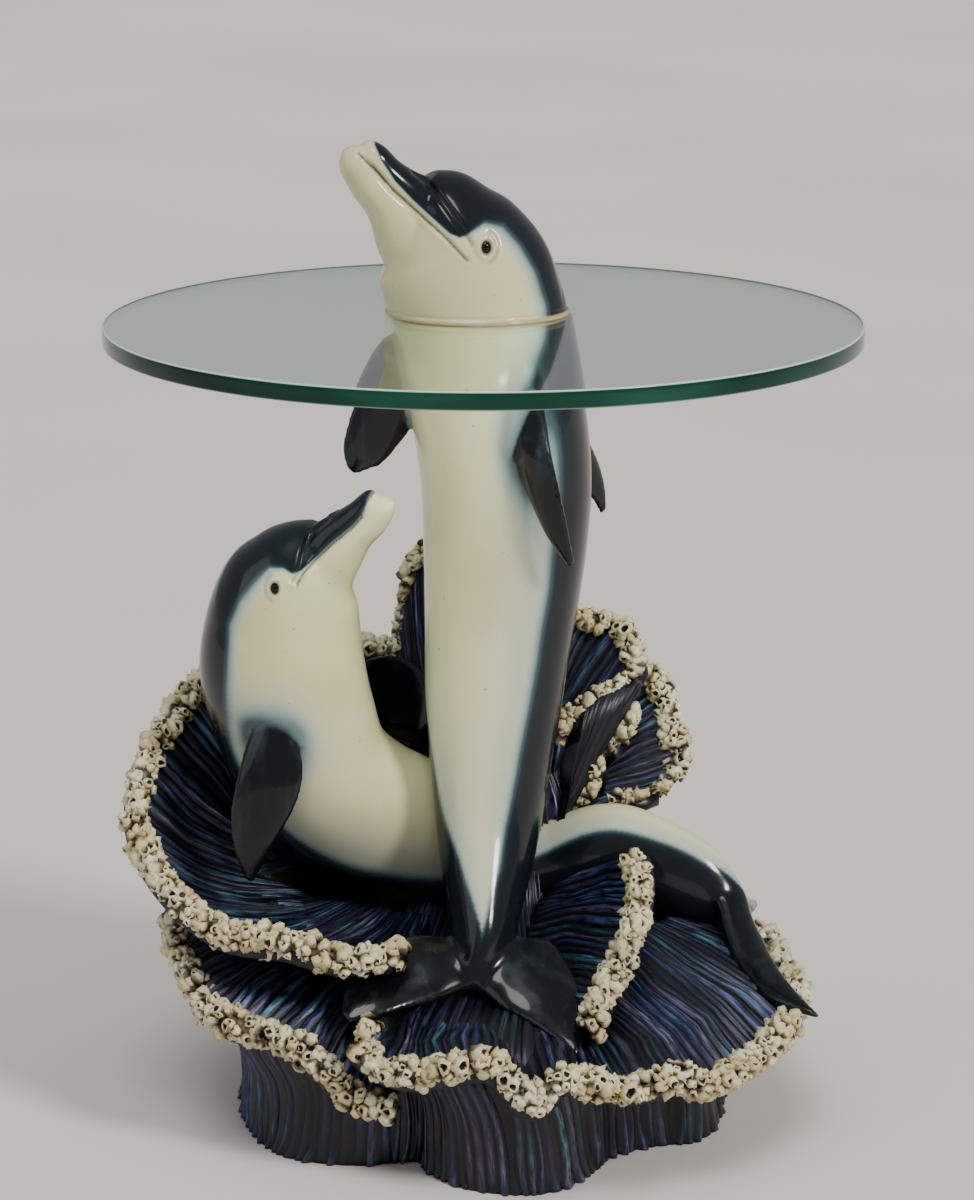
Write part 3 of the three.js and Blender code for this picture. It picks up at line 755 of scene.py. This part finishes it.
def fin_roots(fins):
    """Three places along the root of each fin."""
    return [np.array(fin[0][:3]) * (1 - share) + np.array(fin[0][3:6]) * share
            for fin in fins for share in (0.1, 0.5, 0.9)]


LID_SIDES = 9           # a face with this many sides or more is a lid
BODY_VOXEL, HEAD_VOXEL, SMALL_VOXEL = 1.75, 1.15, 1.65
HELD = 1.5              # the head's lowest rows, which stand on the glass, aren't smoothed
# The pale belly: (number of the station, angle from the belly at which the dark begins there).
TALL_PALE = [(0, -35), (1, -14), (2, 6), (3, 22), (4, 35), (5, 45), (6, 54), (7, 62), (8, 72),
             (9, 85), (10, 101), (11, 122)]
SMALL_PALE = [(0, 100), (5, 99), (8, 88), (11, 76), (13, 62), (15, 50), (16, 25), (17, -20)]


def edges_of(faces):
    """Each edge once. The flat lid is one many-sided face, and its rim is in its neighbours."""
    return np.array(sorted({tuple(sorted((f[i], f[i - 1]))) for f in faces if len(f) < LID_SIDES
                            for i in range(len(f))}))


def four_layers(points, **layers):
    """All four layers of the dolphins' paint. One that isn't given is nothing."""
    none = np.zeros(len(points))
    return {key: layers.get(key, none) for key in ("shade", "fin", "line", "lip")}


def build_tall_body(tall, paint):
    points, faces, edges = fused([tall.skin(), Body(tall_shoulder).skin(SHOULDER_SIDES)]
                                 + [fin_blade(f) for f in tall_fins], BODY_VOXEL)
    points = softened(even_out(points, edges, 6), edges, fin_roots(tall_fins), 22)
    points, faces = stop_at(points, faces, "below", GLASS_BOTTOM - TOUCH_GAP)
    shade, fin, _ = paint_body(tall, points, tall_fins, TALL_PALE, 0.55)
    add_piece("tall_dolphin_body", CASTING, "dolphin_paint", points, faces, paint,
              **four_layers(points, shade=shade, fin=fin))


def build_tall_head(tall, paint, gloss):
    """The head, with a rounded band where it stands on the glass and a groove above the band."""
    points, faces, _ = fused([tall.skin(96), Body(tall_upper_jaw, JAW_STEP).skin(JAW_SIDES),
                              Body(tall_lower_jaw, JAW_STEP).skin(JAW_SIDES)], HEAD_VOXEL)
    points, faces = stop_at(points, faces, "above", GLASS_TOP + TOUCH_GAP)
    edges = edges_of(faces)
    held = points[:, 2] < GLASS_TOP + HELD
    soft = relax(even_out(points, edges, 5), edges, 0.4, 4)
    soft = softened(soft, edges, [TALL.at(*spot) for spot in THROAT_OF_TALL], 17)
    points = np.where(held[:, None], points, soft)
    points, line, shade = carve_face(points, faces, TALL, TALL_FACE_LINES)
    above = points[:, 2] - GLASS_TOP
    band = ease(3.4, 2.4, above)
    away = points[:, :2] - TALL.neck[:2]
    on_side = np.linalg.norm(away, axis=1) > 40
    points[:, :2] += unit(away) * (1.3 * band * on_side - 0.8 * bell(above - 4.2, 1))[:, None]
    add_piece("tall_dolphin_head", HEAD, "head_paint", points, faces, paint,
              **four_layers(points, shade=shade, line=line, lip=band))
    add_piece("tall_dolphin_eyes", HEAD, "head_paint",
              *eyeballs(TALL, TALL_FACE_LINES, points), gloss)


def build_small_dolphin(paint, gloss):
    """Down to the neck the face decides where the dark is, and from there the pale belly does."""
    small = Body(small_stations)
    jaws = [Body(jaw, JAW_STEP).skin(JAW_SIDES) for jaw in (small_upper_jaw, small_lower_jaw)]
    points, faces, edges = fused([small.skin(), *jaws, Body(small_shoulder).skin(SHOULDER_SIDES)]
                                 + [fin_blade(f) for f in small_fins], SMALL_VOXEL)
    throat = [SMALL.at(*spot) for spot in THROAT_OF_SMALL]
    points = softened(even_out(points, edges, 6), edges, fin_roots(small_fins) + throat, 20)
    points, line, face = carve_face(points, faces, SMALL, SMALL_FACE_LINES)
    shade, fin, t = paint_body(small, points, small_fins, SMALL_PALE, 0.6)
    blend = ease(285, 335, points[:, 2]) * (t < 0.36)
    shade = np.maximum(shade * (1 - blend) + face * blend, fin)
    add_piece("small_dolphin", CASTING, "dolphin_paint", points, faces, paint,
              **four_layers(points, shade=shade, fin=fin, line=line))
    add_piece("small_dolphin_eyes", CASTING, "dolphin_paint",
              *eyeballs(SMALL, SMALL_FACE_LINES, points), gloss)


def build_dolphins():
    paint = dolphin_paint()
    gloss = eye_gloss()
    tall = Body(tall_stations)
    build_tall_body(tall, paint)
    build_tall_head(tall, paint, gloss)
    build_small_dolphin(paint, gloss)


# ---- coral base --------------------------------------------------------------------------
leaves = {
    "bowl": dict(sag=10, rows=34, rim=[
        (-62, 104, 298), (-118, 106, 306), (-164, 92, 300), (-200, 60, 285), (-222, 28, 260),
        (-237, -6, 230), (-233, -40, 203), (-208, -78, 177), (-172, -104, 158), (-132, -120, 157),
        (-95, -130, 150), (-54, -126, 153),
    ], root=[
        (-50, 62, 170), (-95, 60, 165), (-128, 45, 160), (-138, 22, 154), (-122, 6, 148),
        (-84, 2, 142), (-38, -4, 136),
    ]),
    "left": dict(sag=-8, rows=26, rim=[
        (-213, -20, 142), (-209, -50, 128), (-192, -86, 112), (-172, -112, 98), (-132, -132, 94),
        (-108, -144, 80), (-88, -152, 62), (-60, -156, 53),
    ], root=[
        (-130, 0, 150), (-110, -40, 135), (-70, -70, 115), (-40, -90, 95),
    ]),
    "front": dict(sag=-3, rows=34, rim=[
        (-72, -146, 112), (-80, -162, 98), (-50, -182, 89), (-8, -190, 98), (12, -196, 96),
        (31, -203, 77), (52, -195, 91), (94, -182, 79), (126, -165, 79), (150, -152, 70),
        (184, -118, 78), (206, -78, 86), (215, -35, 94), (203, 16, 100),
    ], root=[
        (-60, -70, 112), (-10, -75, 108), (45, -60, 112), (88, -35, 132), (122, -8, 134),
        (138, 18, 128),
    ]),
    "upright": dict(sag=-2, rows=26, rim=[
        (102, -42, 192), (106, -55, 176), (102, -80, 156), (92, -106, 140), (78, -132, 124),
        (69, -152, 108),
    ], root=[
        (48, 24, 150), (30, -10, 132), (30, -50, 120), (46, -92, 100),
    ]),
    "fan": dict(sag=-4, rows=30, rim=[
        (-62, 104, 290), (-58, 108, 324), (-50, 110, 360), (-20, 112, 374), (20, 112, 356),
        (60, 110, 324), (92, 104, 316), (108, 94, 295), (98, 82, 280), (74, 72, 269), (50, 60, 250),
    ], root=[
        (-50, 60, 180), (-30, 66, 200), (0, 68, 200), (30, 62, 184), (46, 54, 166),
    ]),
    "right_stack": dict(sag=-4, rows=22, rim=[
        (92, 122, 288), (114, 112, 281), (130, 100, 263), (134, 92, 242), (139, 80, 220),
        (120, 72, 203), (90, 70, 198),
    ], root=[
        (40, 100, 215), (50, 80, 200), (48, 50, 175),
    ]),
    "right_inner": dict(sag=-3, rows=18, rim=[
        (104, 84, 258), (98, 76, 243), (76, 70, 228), (74, 64, 208), (40, 56, 180),
    ], root=[
        (50, 74, 225), (36, 62, 200), (20, 48, 170),
    ]),
    "back_upper": dict(sag=0, rows=20, rim=[
        (-196, 84, 228), (-158, 122, 206), (-98, 146, 190), (-32, 158, 198), (32, 156, 208),
        (88, 136, 204), (112, 112, 212),
    ], root=[
        (-120, 70, 240), (-50, 80, 245), (40, 82, 245), (85, 75, 225),
    ]),
    "back_lower": dict(sag=-8, rows=24, rim=[
        (-213, -8, 142), (-204, 50, 134), (-168, 112, 112), (-112, 150, 96), (-50, 172, 92),
        (14, 182, 102), (74, 174, 92), (126, 148, 88), (170, 104, 92), (198, 54, 98), (205, 12, 99),
    ], root=[
        (-130, 20, 165), (-100, 70, 170), (-20, 95, 180), (70, 85, 175), (130, 40, 150),
        (140, 15, 135),
    ]),
}
LEAF_THICK = 13
RIDGE_WIDTHS = (4.6, 10.5)
RIDGE_PLACES = np.array([0, 0.25, 0.5, 0.75])
RIDGE_SHAPE = np.array([0.0, 0.75, 1.0, 0.7])
GRAIN_STEP = 0.55       # how fast the brushed grain changes across the ridges
LEAF_SWELLS = 5         # numbers down each ridge that make it higher and lower
FOOT_ROWS = 48
FOOT_RIDGE = 4.6
CRUST_CORE = 6.5


def ridge_steps(length):
    """Places across a row of ridges of uneven width, four to a ridge, and each one's height."""
    widths = []
    while sum(widths) < length:
        widths.append(random.uniform(*RIDGE_WIDTHS))
    starts = np.concatenate([[0], np.cumsum(widths)]) * (length / sum(widths))
    heights = random.uniform(0.5, 1.0, len(widths))
    places = (starts[:-1, None] + np.diff(starts)[:, None] * RIDGE_PLACES).ravel()
    shape = (heights[:, None] * RIDGE_SHAPE).ravel()
    return np.append(places, length) / length, np.append(shape, 0.0), len(widths)


def ridge_runs(ridges, knots, low, high, rows):
    """For each ridge a smooth seeded run of numbers down its length."""
    values = random.uniform(low, high, (ridges, knots))
    at = np.linspace(0, 1, rows)
    return np.stack([np.interp(at, np.linspace(0, 1, knots), row) for row in values])


def smooth_field(across, rows, step, size):
    """A slow seeded swell over a sheet, "step" apart across it."""
    knots = max(4, int(across[-1] / step) + 2)
    values = random.uniform(-size, size, (knots, 4))
    at = np.linspace(0, 1, rows)
    by_row = spline(values, across / across[-1] * 0.999)
    return np.stack([np.interp(at, np.linspace(0, 1, 4), row) for row in by_row])


def rim_axes(rim, t, out):
    """The ways along a rim and up from it."""
    side = unit(spline(rim, t + 1e-3) - spline(rim, t - 1e-3))
    up = np.cross(side, out)
    return side, np.where(up[..., 2:] < 0, -up, up)


def make_leaf(rim, root, sag, rows):
    """A thick fluted sheet from a root line out to a rim, and the layers of its paint."""
    _, length = even_steps(rim, [0])
    places, shape, ridges = ridge_steps(length)
    per_ridge = np.minimum(np.arange(len(places)) // len(RIDGE_PLACES), ridges - 1)
    v_top = np.linspace(0, 1, rows) ** 0.9
    swell = ridge_runs(ridges, LEAF_SWELLS, 0.35, 1.25, rows)[per_ridge]
    sway = smooth_field(places * length, rows, 24, 7.0)
    sway = sway + ridge_runs(ridges, LEAF_SWELLS, -0.9, 0.9, rows)[per_ridge]
    drift = np.clip(places[:, None] + sway / length * np.sin(np.pi * v_top), 0, 1)
    drift = np.maximum.accumulate(drift, axis=0)
    t_rim = even_steps(rim, drift.ravel())[0].reshape(drift.shape)
    t_root = even_steps(root, drift.ravel())[0].reshape(drift.shape)
    edge, start = spline(rim, t_rim), spline(root, t_root)
    out = unit(edge - start)
    up = unit(rim_axes(rim, t_rim, out)[1])
    v = v_top[None, :, None]
    sheet = start * (1 - v) + edge * v - np.array([0, 0, sag]) * np.sin(np.pi * v)
    folds = smooth_field(places * length, rows, 38, 3.2) * v_top
    ridge = shape[:, None] * swell
    rise = ridge * (1.5 + 2.9 * v_top) + folds
    top = sheet + up * rise[..., None]
    last = rows - 1
    edges = [edge[:, last] + 4 * out[:, last] - up[:, last] * d for d in (1.0, 6.0, 11.0)]
    under = []
    for share in (0.8, 0.55, 0.3, 0.0):
        k = int(round(share * last))
        thick = LEAF_THICK * (2.0 - share)
        under.append(sheet[:, k] - up[:, k] * (thick - shape[:, None] * 1.2))
    rings = np.concatenate([top, np.stack(edges, 1), np.stack(under, 1)], axis=1)
    part = loft(rings)
    more = rings.shape[1] - rows
    crest = np.concatenate([ridge, np.repeat(0.4 * shape[:, None], more, axis=1)], axis=1)
    hue = np.repeat(random.uniform(0, 1, ridges)[per_ridge][:, None], rings.shape[1], axis=1)
    across = np.repeat(places[:, None] * length * GRAIN_STEP, rings.shape[1], axis=1)
    along = np.concatenate([v_top * 8, np.linspace(9, 16, more)])[None] + 0 * across
    return part, [np.concatenate([a.ravel(), [0, 0]]) for a in (crest, hue, across, along)]


# The foot's outline, and its levels as (height, size, shift right, shift back).
foot_outline = [
    [-172, -4], [-162, -60], [-146, -98], [-122, -117], [-84, -125], [-48, -119], [-36, -140],
    [-12, -164], [20, -174], [50, -167], [76, -135], [92, -106], [122, -90], [148, -82],
    [165, -50], [170, 5], [158, 60], [128, 96], [92, 140], [30, 164], [-32, 158], [-62, 130],
    [-104, 134], [-148, 104], [-166, 55],
]
foot_levels = [
    [0, 1.0, 0, 0], [14, 0.99, 0, 0], [48, 0.98, -2, 0], [82, 1.02, -12, 5],
    [105, 0.91, -12, 12], [118, 0.7, -2, 34], [132, 0.52, 0, 68], [160, 0.42, 4, 76],
    [205, 0.36, 6, 80], [250, 0.2, 10, 88],
]


def make_foot():
    """The fluted stem under the leaves, and the layers of its paint."""
    count = len(foot_outline)
    closed = [[x, y, 0] for x, y in foot_outline[-2:] + foot_outline + foot_outline[:3]]
    loop = spline(closed, np.linspace(2, 2 + count, 4000) / (len(closed) - 1))
    steps = np.concatenate([[0], np.cumsum(np.linalg.norm(np.diff(loop, axis=0), axis=1))])
    places, shape, ridges = ridge_steps(steps[-1])
    places, shape = places[:-1], shape[:-1]
    per_ridge = np.arange(len(places)) // len(RIDGE_PLACES)
    levels = spline(foot_levels, np.linspace(0, 1, FOOT_ROWS))
    swell = ridge_runs(ridges, 9, 0.1, 1.5, FOOT_ROWS)[per_ridge]
    sway = smooth_field(places * steps[-1], FOOT_ROWS, 40, 10.0)
    sway = sway + ridge_runs(ridges, 8, -2.2, 2.2, FOOT_ROWS)[per_ridge]
    at = np.clip(places[:, None] * steps[-1] + sway * np.sin(np.pi * places)[:, None] ** 0.2, 0,
                 steps[-1])
    at = np.maximum.accumulate(at, axis=0)
    outline = np.stack([np.interp(at, steps, loop[:, k]) for k in range(2)], -1)
    ridge = shape[:, None] * swell
    rise = (ridge * FOOT_RIDGE - 3.0)[..., None] * unit(outline)
    ring = outline * levels[None, :, 1:2] + levels[None, :, 2:4] + rise
    height = np.broadcast_to(levels[None, :, 0:1], (*ring.shape[:2], 1))
    rings = np.concatenate([ring, height], -1).transpose(1, 0, 2)
    rings[:, :, 2] = np.maximum(rings[:, :, 2], 0)
    hue = np.repeat(random.uniform(0.5, 0.92, ridges)[per_ridge][:, None], FOOT_ROWS, axis=1)
    across = np.repeat(places[:, None] * steps[-1] * GRAIN_STEP, FOOT_ROWS, axis=1)
    along = np.broadcast_to(levels[:, 0] * 0.09, (len(places), FOOT_ROWS))
    return loft(rings), [np.concatenate([a.T.ravel(), [0, 0]])
                         for a in (ridge * 0.78, hue, across, along)]


def build_coral():
    paint = coral_paint()
    made = [make_leaf(**leaf) for leaf in leaves.values()]
    for name, chosen in (("coral_leaves_front", made[:4]), ("coral_leaves_back", made[4:]),
                         ("coral_foot", [make_foot()])):
        points, faces = merged([part for part, _ in chosen])
        crest, hue, across, along = (np.concatenate(a) for a in zip(*(v for _, v in chosen)))
        add_piece(name, CASTING, "coral_paint", points, faces, paint,
                  crest=crest, hue=hue, across=across, along=along)


CORE_STEP = 2.5         # between rings of the crust's core
CORE_SIDES = 14
LUMP_STEP, WAVE_STEP = 9, 16
CUP_SIDES = 8
CUPS_ROUND = np.arange(-118, 182, 50)   # where cups stand round the core, in degrees
CLOSED_SHARE = 0.33
# The core between the cups is painted dark with shade.
CORE_SHADE = 0.9
# A barnacle's rings as (radius, height, hollow shade), from its foot over its lip into its hole;
# the third number paints shade at the foot and in the hole.
CUP_RINGS = [(1.15, -0.6, 1.0), (1.1, 0.15, 0.6), (0.86, 0.75, 0.0), (0.6, 1.0, 0.05),
             (0.42, 0.42, 0.95), (0.05, 0.22, 1.0)]


def barnacles(places, outward, size):
    """Cups at these places, each tilted and out of round by its own seeded amount. One in three
    has closed over into a rough knob."""
    count = len(places)
    up = unit(outward + random.normal(0, 0.34, (count, 3)))
    other = unit(np.cross(up, random.normal(0, 1, (count, 3))))
    third = np.cross(up, other)
    turn = circle(CUP_SIDES)[None]
    angle = turn + random.uniform(0, 6, (count, 1))
    lumpy = 1 + random.normal(0, 0.2, (count, CUP_SIDES))
    squash = random.uniform(0.72, 1.0, (count, 1))
    closed = random.uniform(0, 1, (count, 1)) < CLOSED_SHARE
    mouth = np.where(closed, 0.75, random.uniform(0.8, 1.25, (count, 1)))
    rings, pits = [], []
    for k, (radius, height, hollow_shade) in enumerate(CUP_RINGS):
        inner = k > 2
        rough = lumpy + random.normal(0, 0.1, (count, CUP_SIDES))
        wide = radius * rough * (mouth if inner else 1)
        lifted = np.where(closed, 1.02 + 0.04 * k, height) if k > 3 else height
        tall = lifted + random.normal(0, 0.2 if 1 < k < 4 else 0.08, (count, CUP_SIDES))
        ring = ((wide * np.cos(angle))[..., None] * other[:, None]
                + (wide * squash * np.sin(angle))[..., None] * third[:, None]
                + (tall + 0 * angle)[..., None] * up[:, None])
        rings.append(places[:, None] + size[:, None, None] * ring)
        pits.append(np.where(closed & (k > 3), 0.1, hollow_shade) + 0 * angle)
    points = np.stack(rings, 1)
    rows = len(CUP_RINGS)
    _, _, quads = grid_of(rows, CUP_SIDES)
    faces = (quads[None] + (np.arange(count) * rows * CUP_SIDES)[:, None, None]).reshape(-1, 4)
    return points.reshape(-1, 3), [tuple(f) for f in faces.tolist()], np.stack(pits, 1).ravel()


def make_crust(rim, root, gap):
    """A lumpy core along a rim, and the barnacles that stand on it."""
    _, length = even_steps(rim, [0])
    rows = int(length / CORE_STEP)
    share = np.linspace(0.002, 0.998, rows)
    t, t_root = even_steps(rim, share)[0], even_steps(root, share)[0]
    edge = spline(rim, t)
    out = unit(edge - spline(root, t_root))
    side, up = rim_axes(rim, t, out)
    lump_places = np.arange(0, length + 2 * LUMP_STEP, LUMP_STEP)
    lumps = np.interp(share * length, lump_places,
                      random.uniform(0.72, 1.22, len(lump_places)))
    waves = int(length / WAVE_STEP) + 2
    edge = edge + up * np.interp(share, np.linspace(0, 1, waves),
                                 random.uniform(-2, 2.5, waves))[:, None]
    turn = circle(CORE_SIDES)
    radius = CRUST_CORE * 0.9 * lumps[:, None] * (1 + random.normal(0, 0.1, (rows, CORE_SIDES)))
    ring = ((np.cos(turn) * radius)[..., None] * out[:, None]
            + (np.sin(turn) * radius)[..., None] * up[:, None])
    core = loft(edge[:, None] + ring)
    count = int(length / gap)
    rings = np.linspace(1, rows - 2, count).astype(int)
    k = np.repeat(rings, len(CUPS_ROUND))
    turn = np.radians(np.tile(CUPS_ROUND, count)
                      + np.repeat(25 * (np.arange(count) % 2), len(CUPS_ROUND))
                      + random.normal(0, 9, len(k)))
    normal = np.cos(turn)[:, None] * out[k] + np.sin(turn)[:, None] * up[k]
    reach = CRUST_CORE * lumps[k] * random.uniform(0.7, 1.25, len(k))
    places = edge[k] + reach[:, None] * normal + side[k] * random.normal(0, 0.25 * gap, (len(k), 1))
    size = random.uniform(2.9, 4.4, len(k)) + 2.2 * random.uniform(0, 1, len(k)) ** 5
    *cups, pit = barnacles(places, normal, size)
    return core, np.full(len(core[0]), CORE_SHADE), cups, pit


def build_crust():
    paint = crust_paint()
    groups = {"barnacles_front": (["bowl", "front"], 6.2),
              "barnacles_middle": (["left", "upright", "fan", "right_stack", "right_inner"], 6.2),
              "barnacles_back": (["back_upper", "back_lower"], 7.4)}
    for name, (members, gap) in groups.items():
        parts, pits = [], []
        for member in members:
            leaf = leaves[member]
            core, core_pit, cups, cup_pit = make_crust(leaf["rim"], leaf["root"], gap)
            parts += [core, cups]
            pits += [core_pit, cup_pit]
        add_piece(name, CASTING, "barnacle_crust", *merged(parts), paint, pit=np.concatenate(pits))


# ---- glass top ---------------------------------------------------------------------------
def build_glass():
    arris, sides = 1.2, 256
    radii = [0.02, GLASS_RADIUS - arris, GLASS_RADIUS - 0.25 * arris, GLASS_RADIUS,
             GLASS_RADIUS, GLASS_RADIUS - 0.25 * arris, GLASS_RADIUS - arris, 0.02]
    heights = [GLASS_BOTTOM, GLASS_BOTTOM, GLASS_BOTTOM + 0.3 * arris, GLASS_BOTTOM + arris,
               GLASS_TOP - arris, GLASS_TOP - 0.3 * arris, GLASS_TOP, GLASS_TOP]
    angle = circle(sides)
    rings = np.stack([np.stack([r * np.cos(angle), r * np.sin(angle), np.full(sides, z)], -1)
                      for r, z in zip(radii, heights)])
    points, faces = loft(rings)
    # Painted highlights along the arrises, strongest round the top edge.
    arris_highlight = np.array([0.35, 0.5, 0.4, 0.0, 0.0, 1.0, 1.0, 0.35])
    arris_painted_highlight = np.append(np.repeat(arris_highlight, sides), [0, 0])
    disc = add_piece("glass_disc", "glass_top", "tabletop_glass", points, faces, clear_glass(),
                     arris=arris_painted_highlight)
    disc.data.materials.append(glass_edge())
    for face in disc.data.polygons:
        centre = face.center
        on_rim = math.hypot(centre.x, centre.y) > (GLASS_RADIUS - arris) * MM
        face.material_index = 1 if on_rim else 0
        face.use_smooth = bool(on_rim)


# ---- floor, light and camera --------------------------------------------------------------
FLOOR_DROP = 0.5        # the floor lies this far under the foot
WORLD_STRENGTH = 0.34
# Suns as (name, degrees to the right, degrees up, width in degrees, strength, colour).
SUNS = [("key", 50, 35, 12, 2.3, (1.0, 0.97, 0.93)),
        ("overhead", -12, 66, 25, 1.2, (1.0, 0.99, 0.97)),
        ("left_fill", -65, 25, 40, 0.35, (0.94, 0.97, 1.0))]
CAMERA_LENS = 108.94
CAMERA_PLACE = (0.0024, -2.4, 0.9681)
CAMERA_DOWN = 14.177    # degrees


def build_stage():
    n = Nodes("pale_floor")
    colour = n.ramp(n.noise(0.8, 2), [(0.3, "#e0d9d2"), (0.7, "#e8e2dc")])
    material = n.finish(Base_Color=colour, Roughness=0.55)
    half = 30000
    floor = new_object("floor", [[-half, -half, 0], [half, -half, 0], [half, half, 0],
                                 [-half, half, 0]], [(0, 1, 2, 3)], material)
    floor.location.z = -FLOOR_DROP * MM
    world = bpy.data.worlds.new("studio")
    world.use_nodes = True
    world.node_tree.nodes["Background"].inputs["Color"].default_value = (0.97, 0.97, 1.0, 1)
    world.node_tree.nodes["Background"].inputs["Strength"].default_value = WORLD_STRENGTH
    bpy.context.scene.world = world
    for name, right, height, width, strength, tint in SUNS:
        sun = bpy.data.lights.new(name, "SUN")
        sun.angle = math.radians(width)
        sun.energy = strength
        sun.color = tint
        obj = bpy.data.objects.new(name, sun)
        obj.rotation_euler = (math.radians(90 - height), 0, math.radians(right))
        obj.visible_transmission = False
        bpy.context.collection.objects.link(obj)


def build_camera():
    camera = bpy.data.cameras.new("camera")
    camera.sensor_width = 36
    camera.lens = CAMERA_LENS
    obj = bpy.data.objects.new("camera", camera)
    obj.location = CAMERA_PLACE
    obj.rotation_euler = (math.radians(90 - CAMERA_DOWN), 0, 0)
    bpy.context.collection.objects.link(obj)
    bpy.context.scene.camera = obj


build_camera()
build_stage()
build_glass()
build_dolphins()
build_coral()
build_crust()
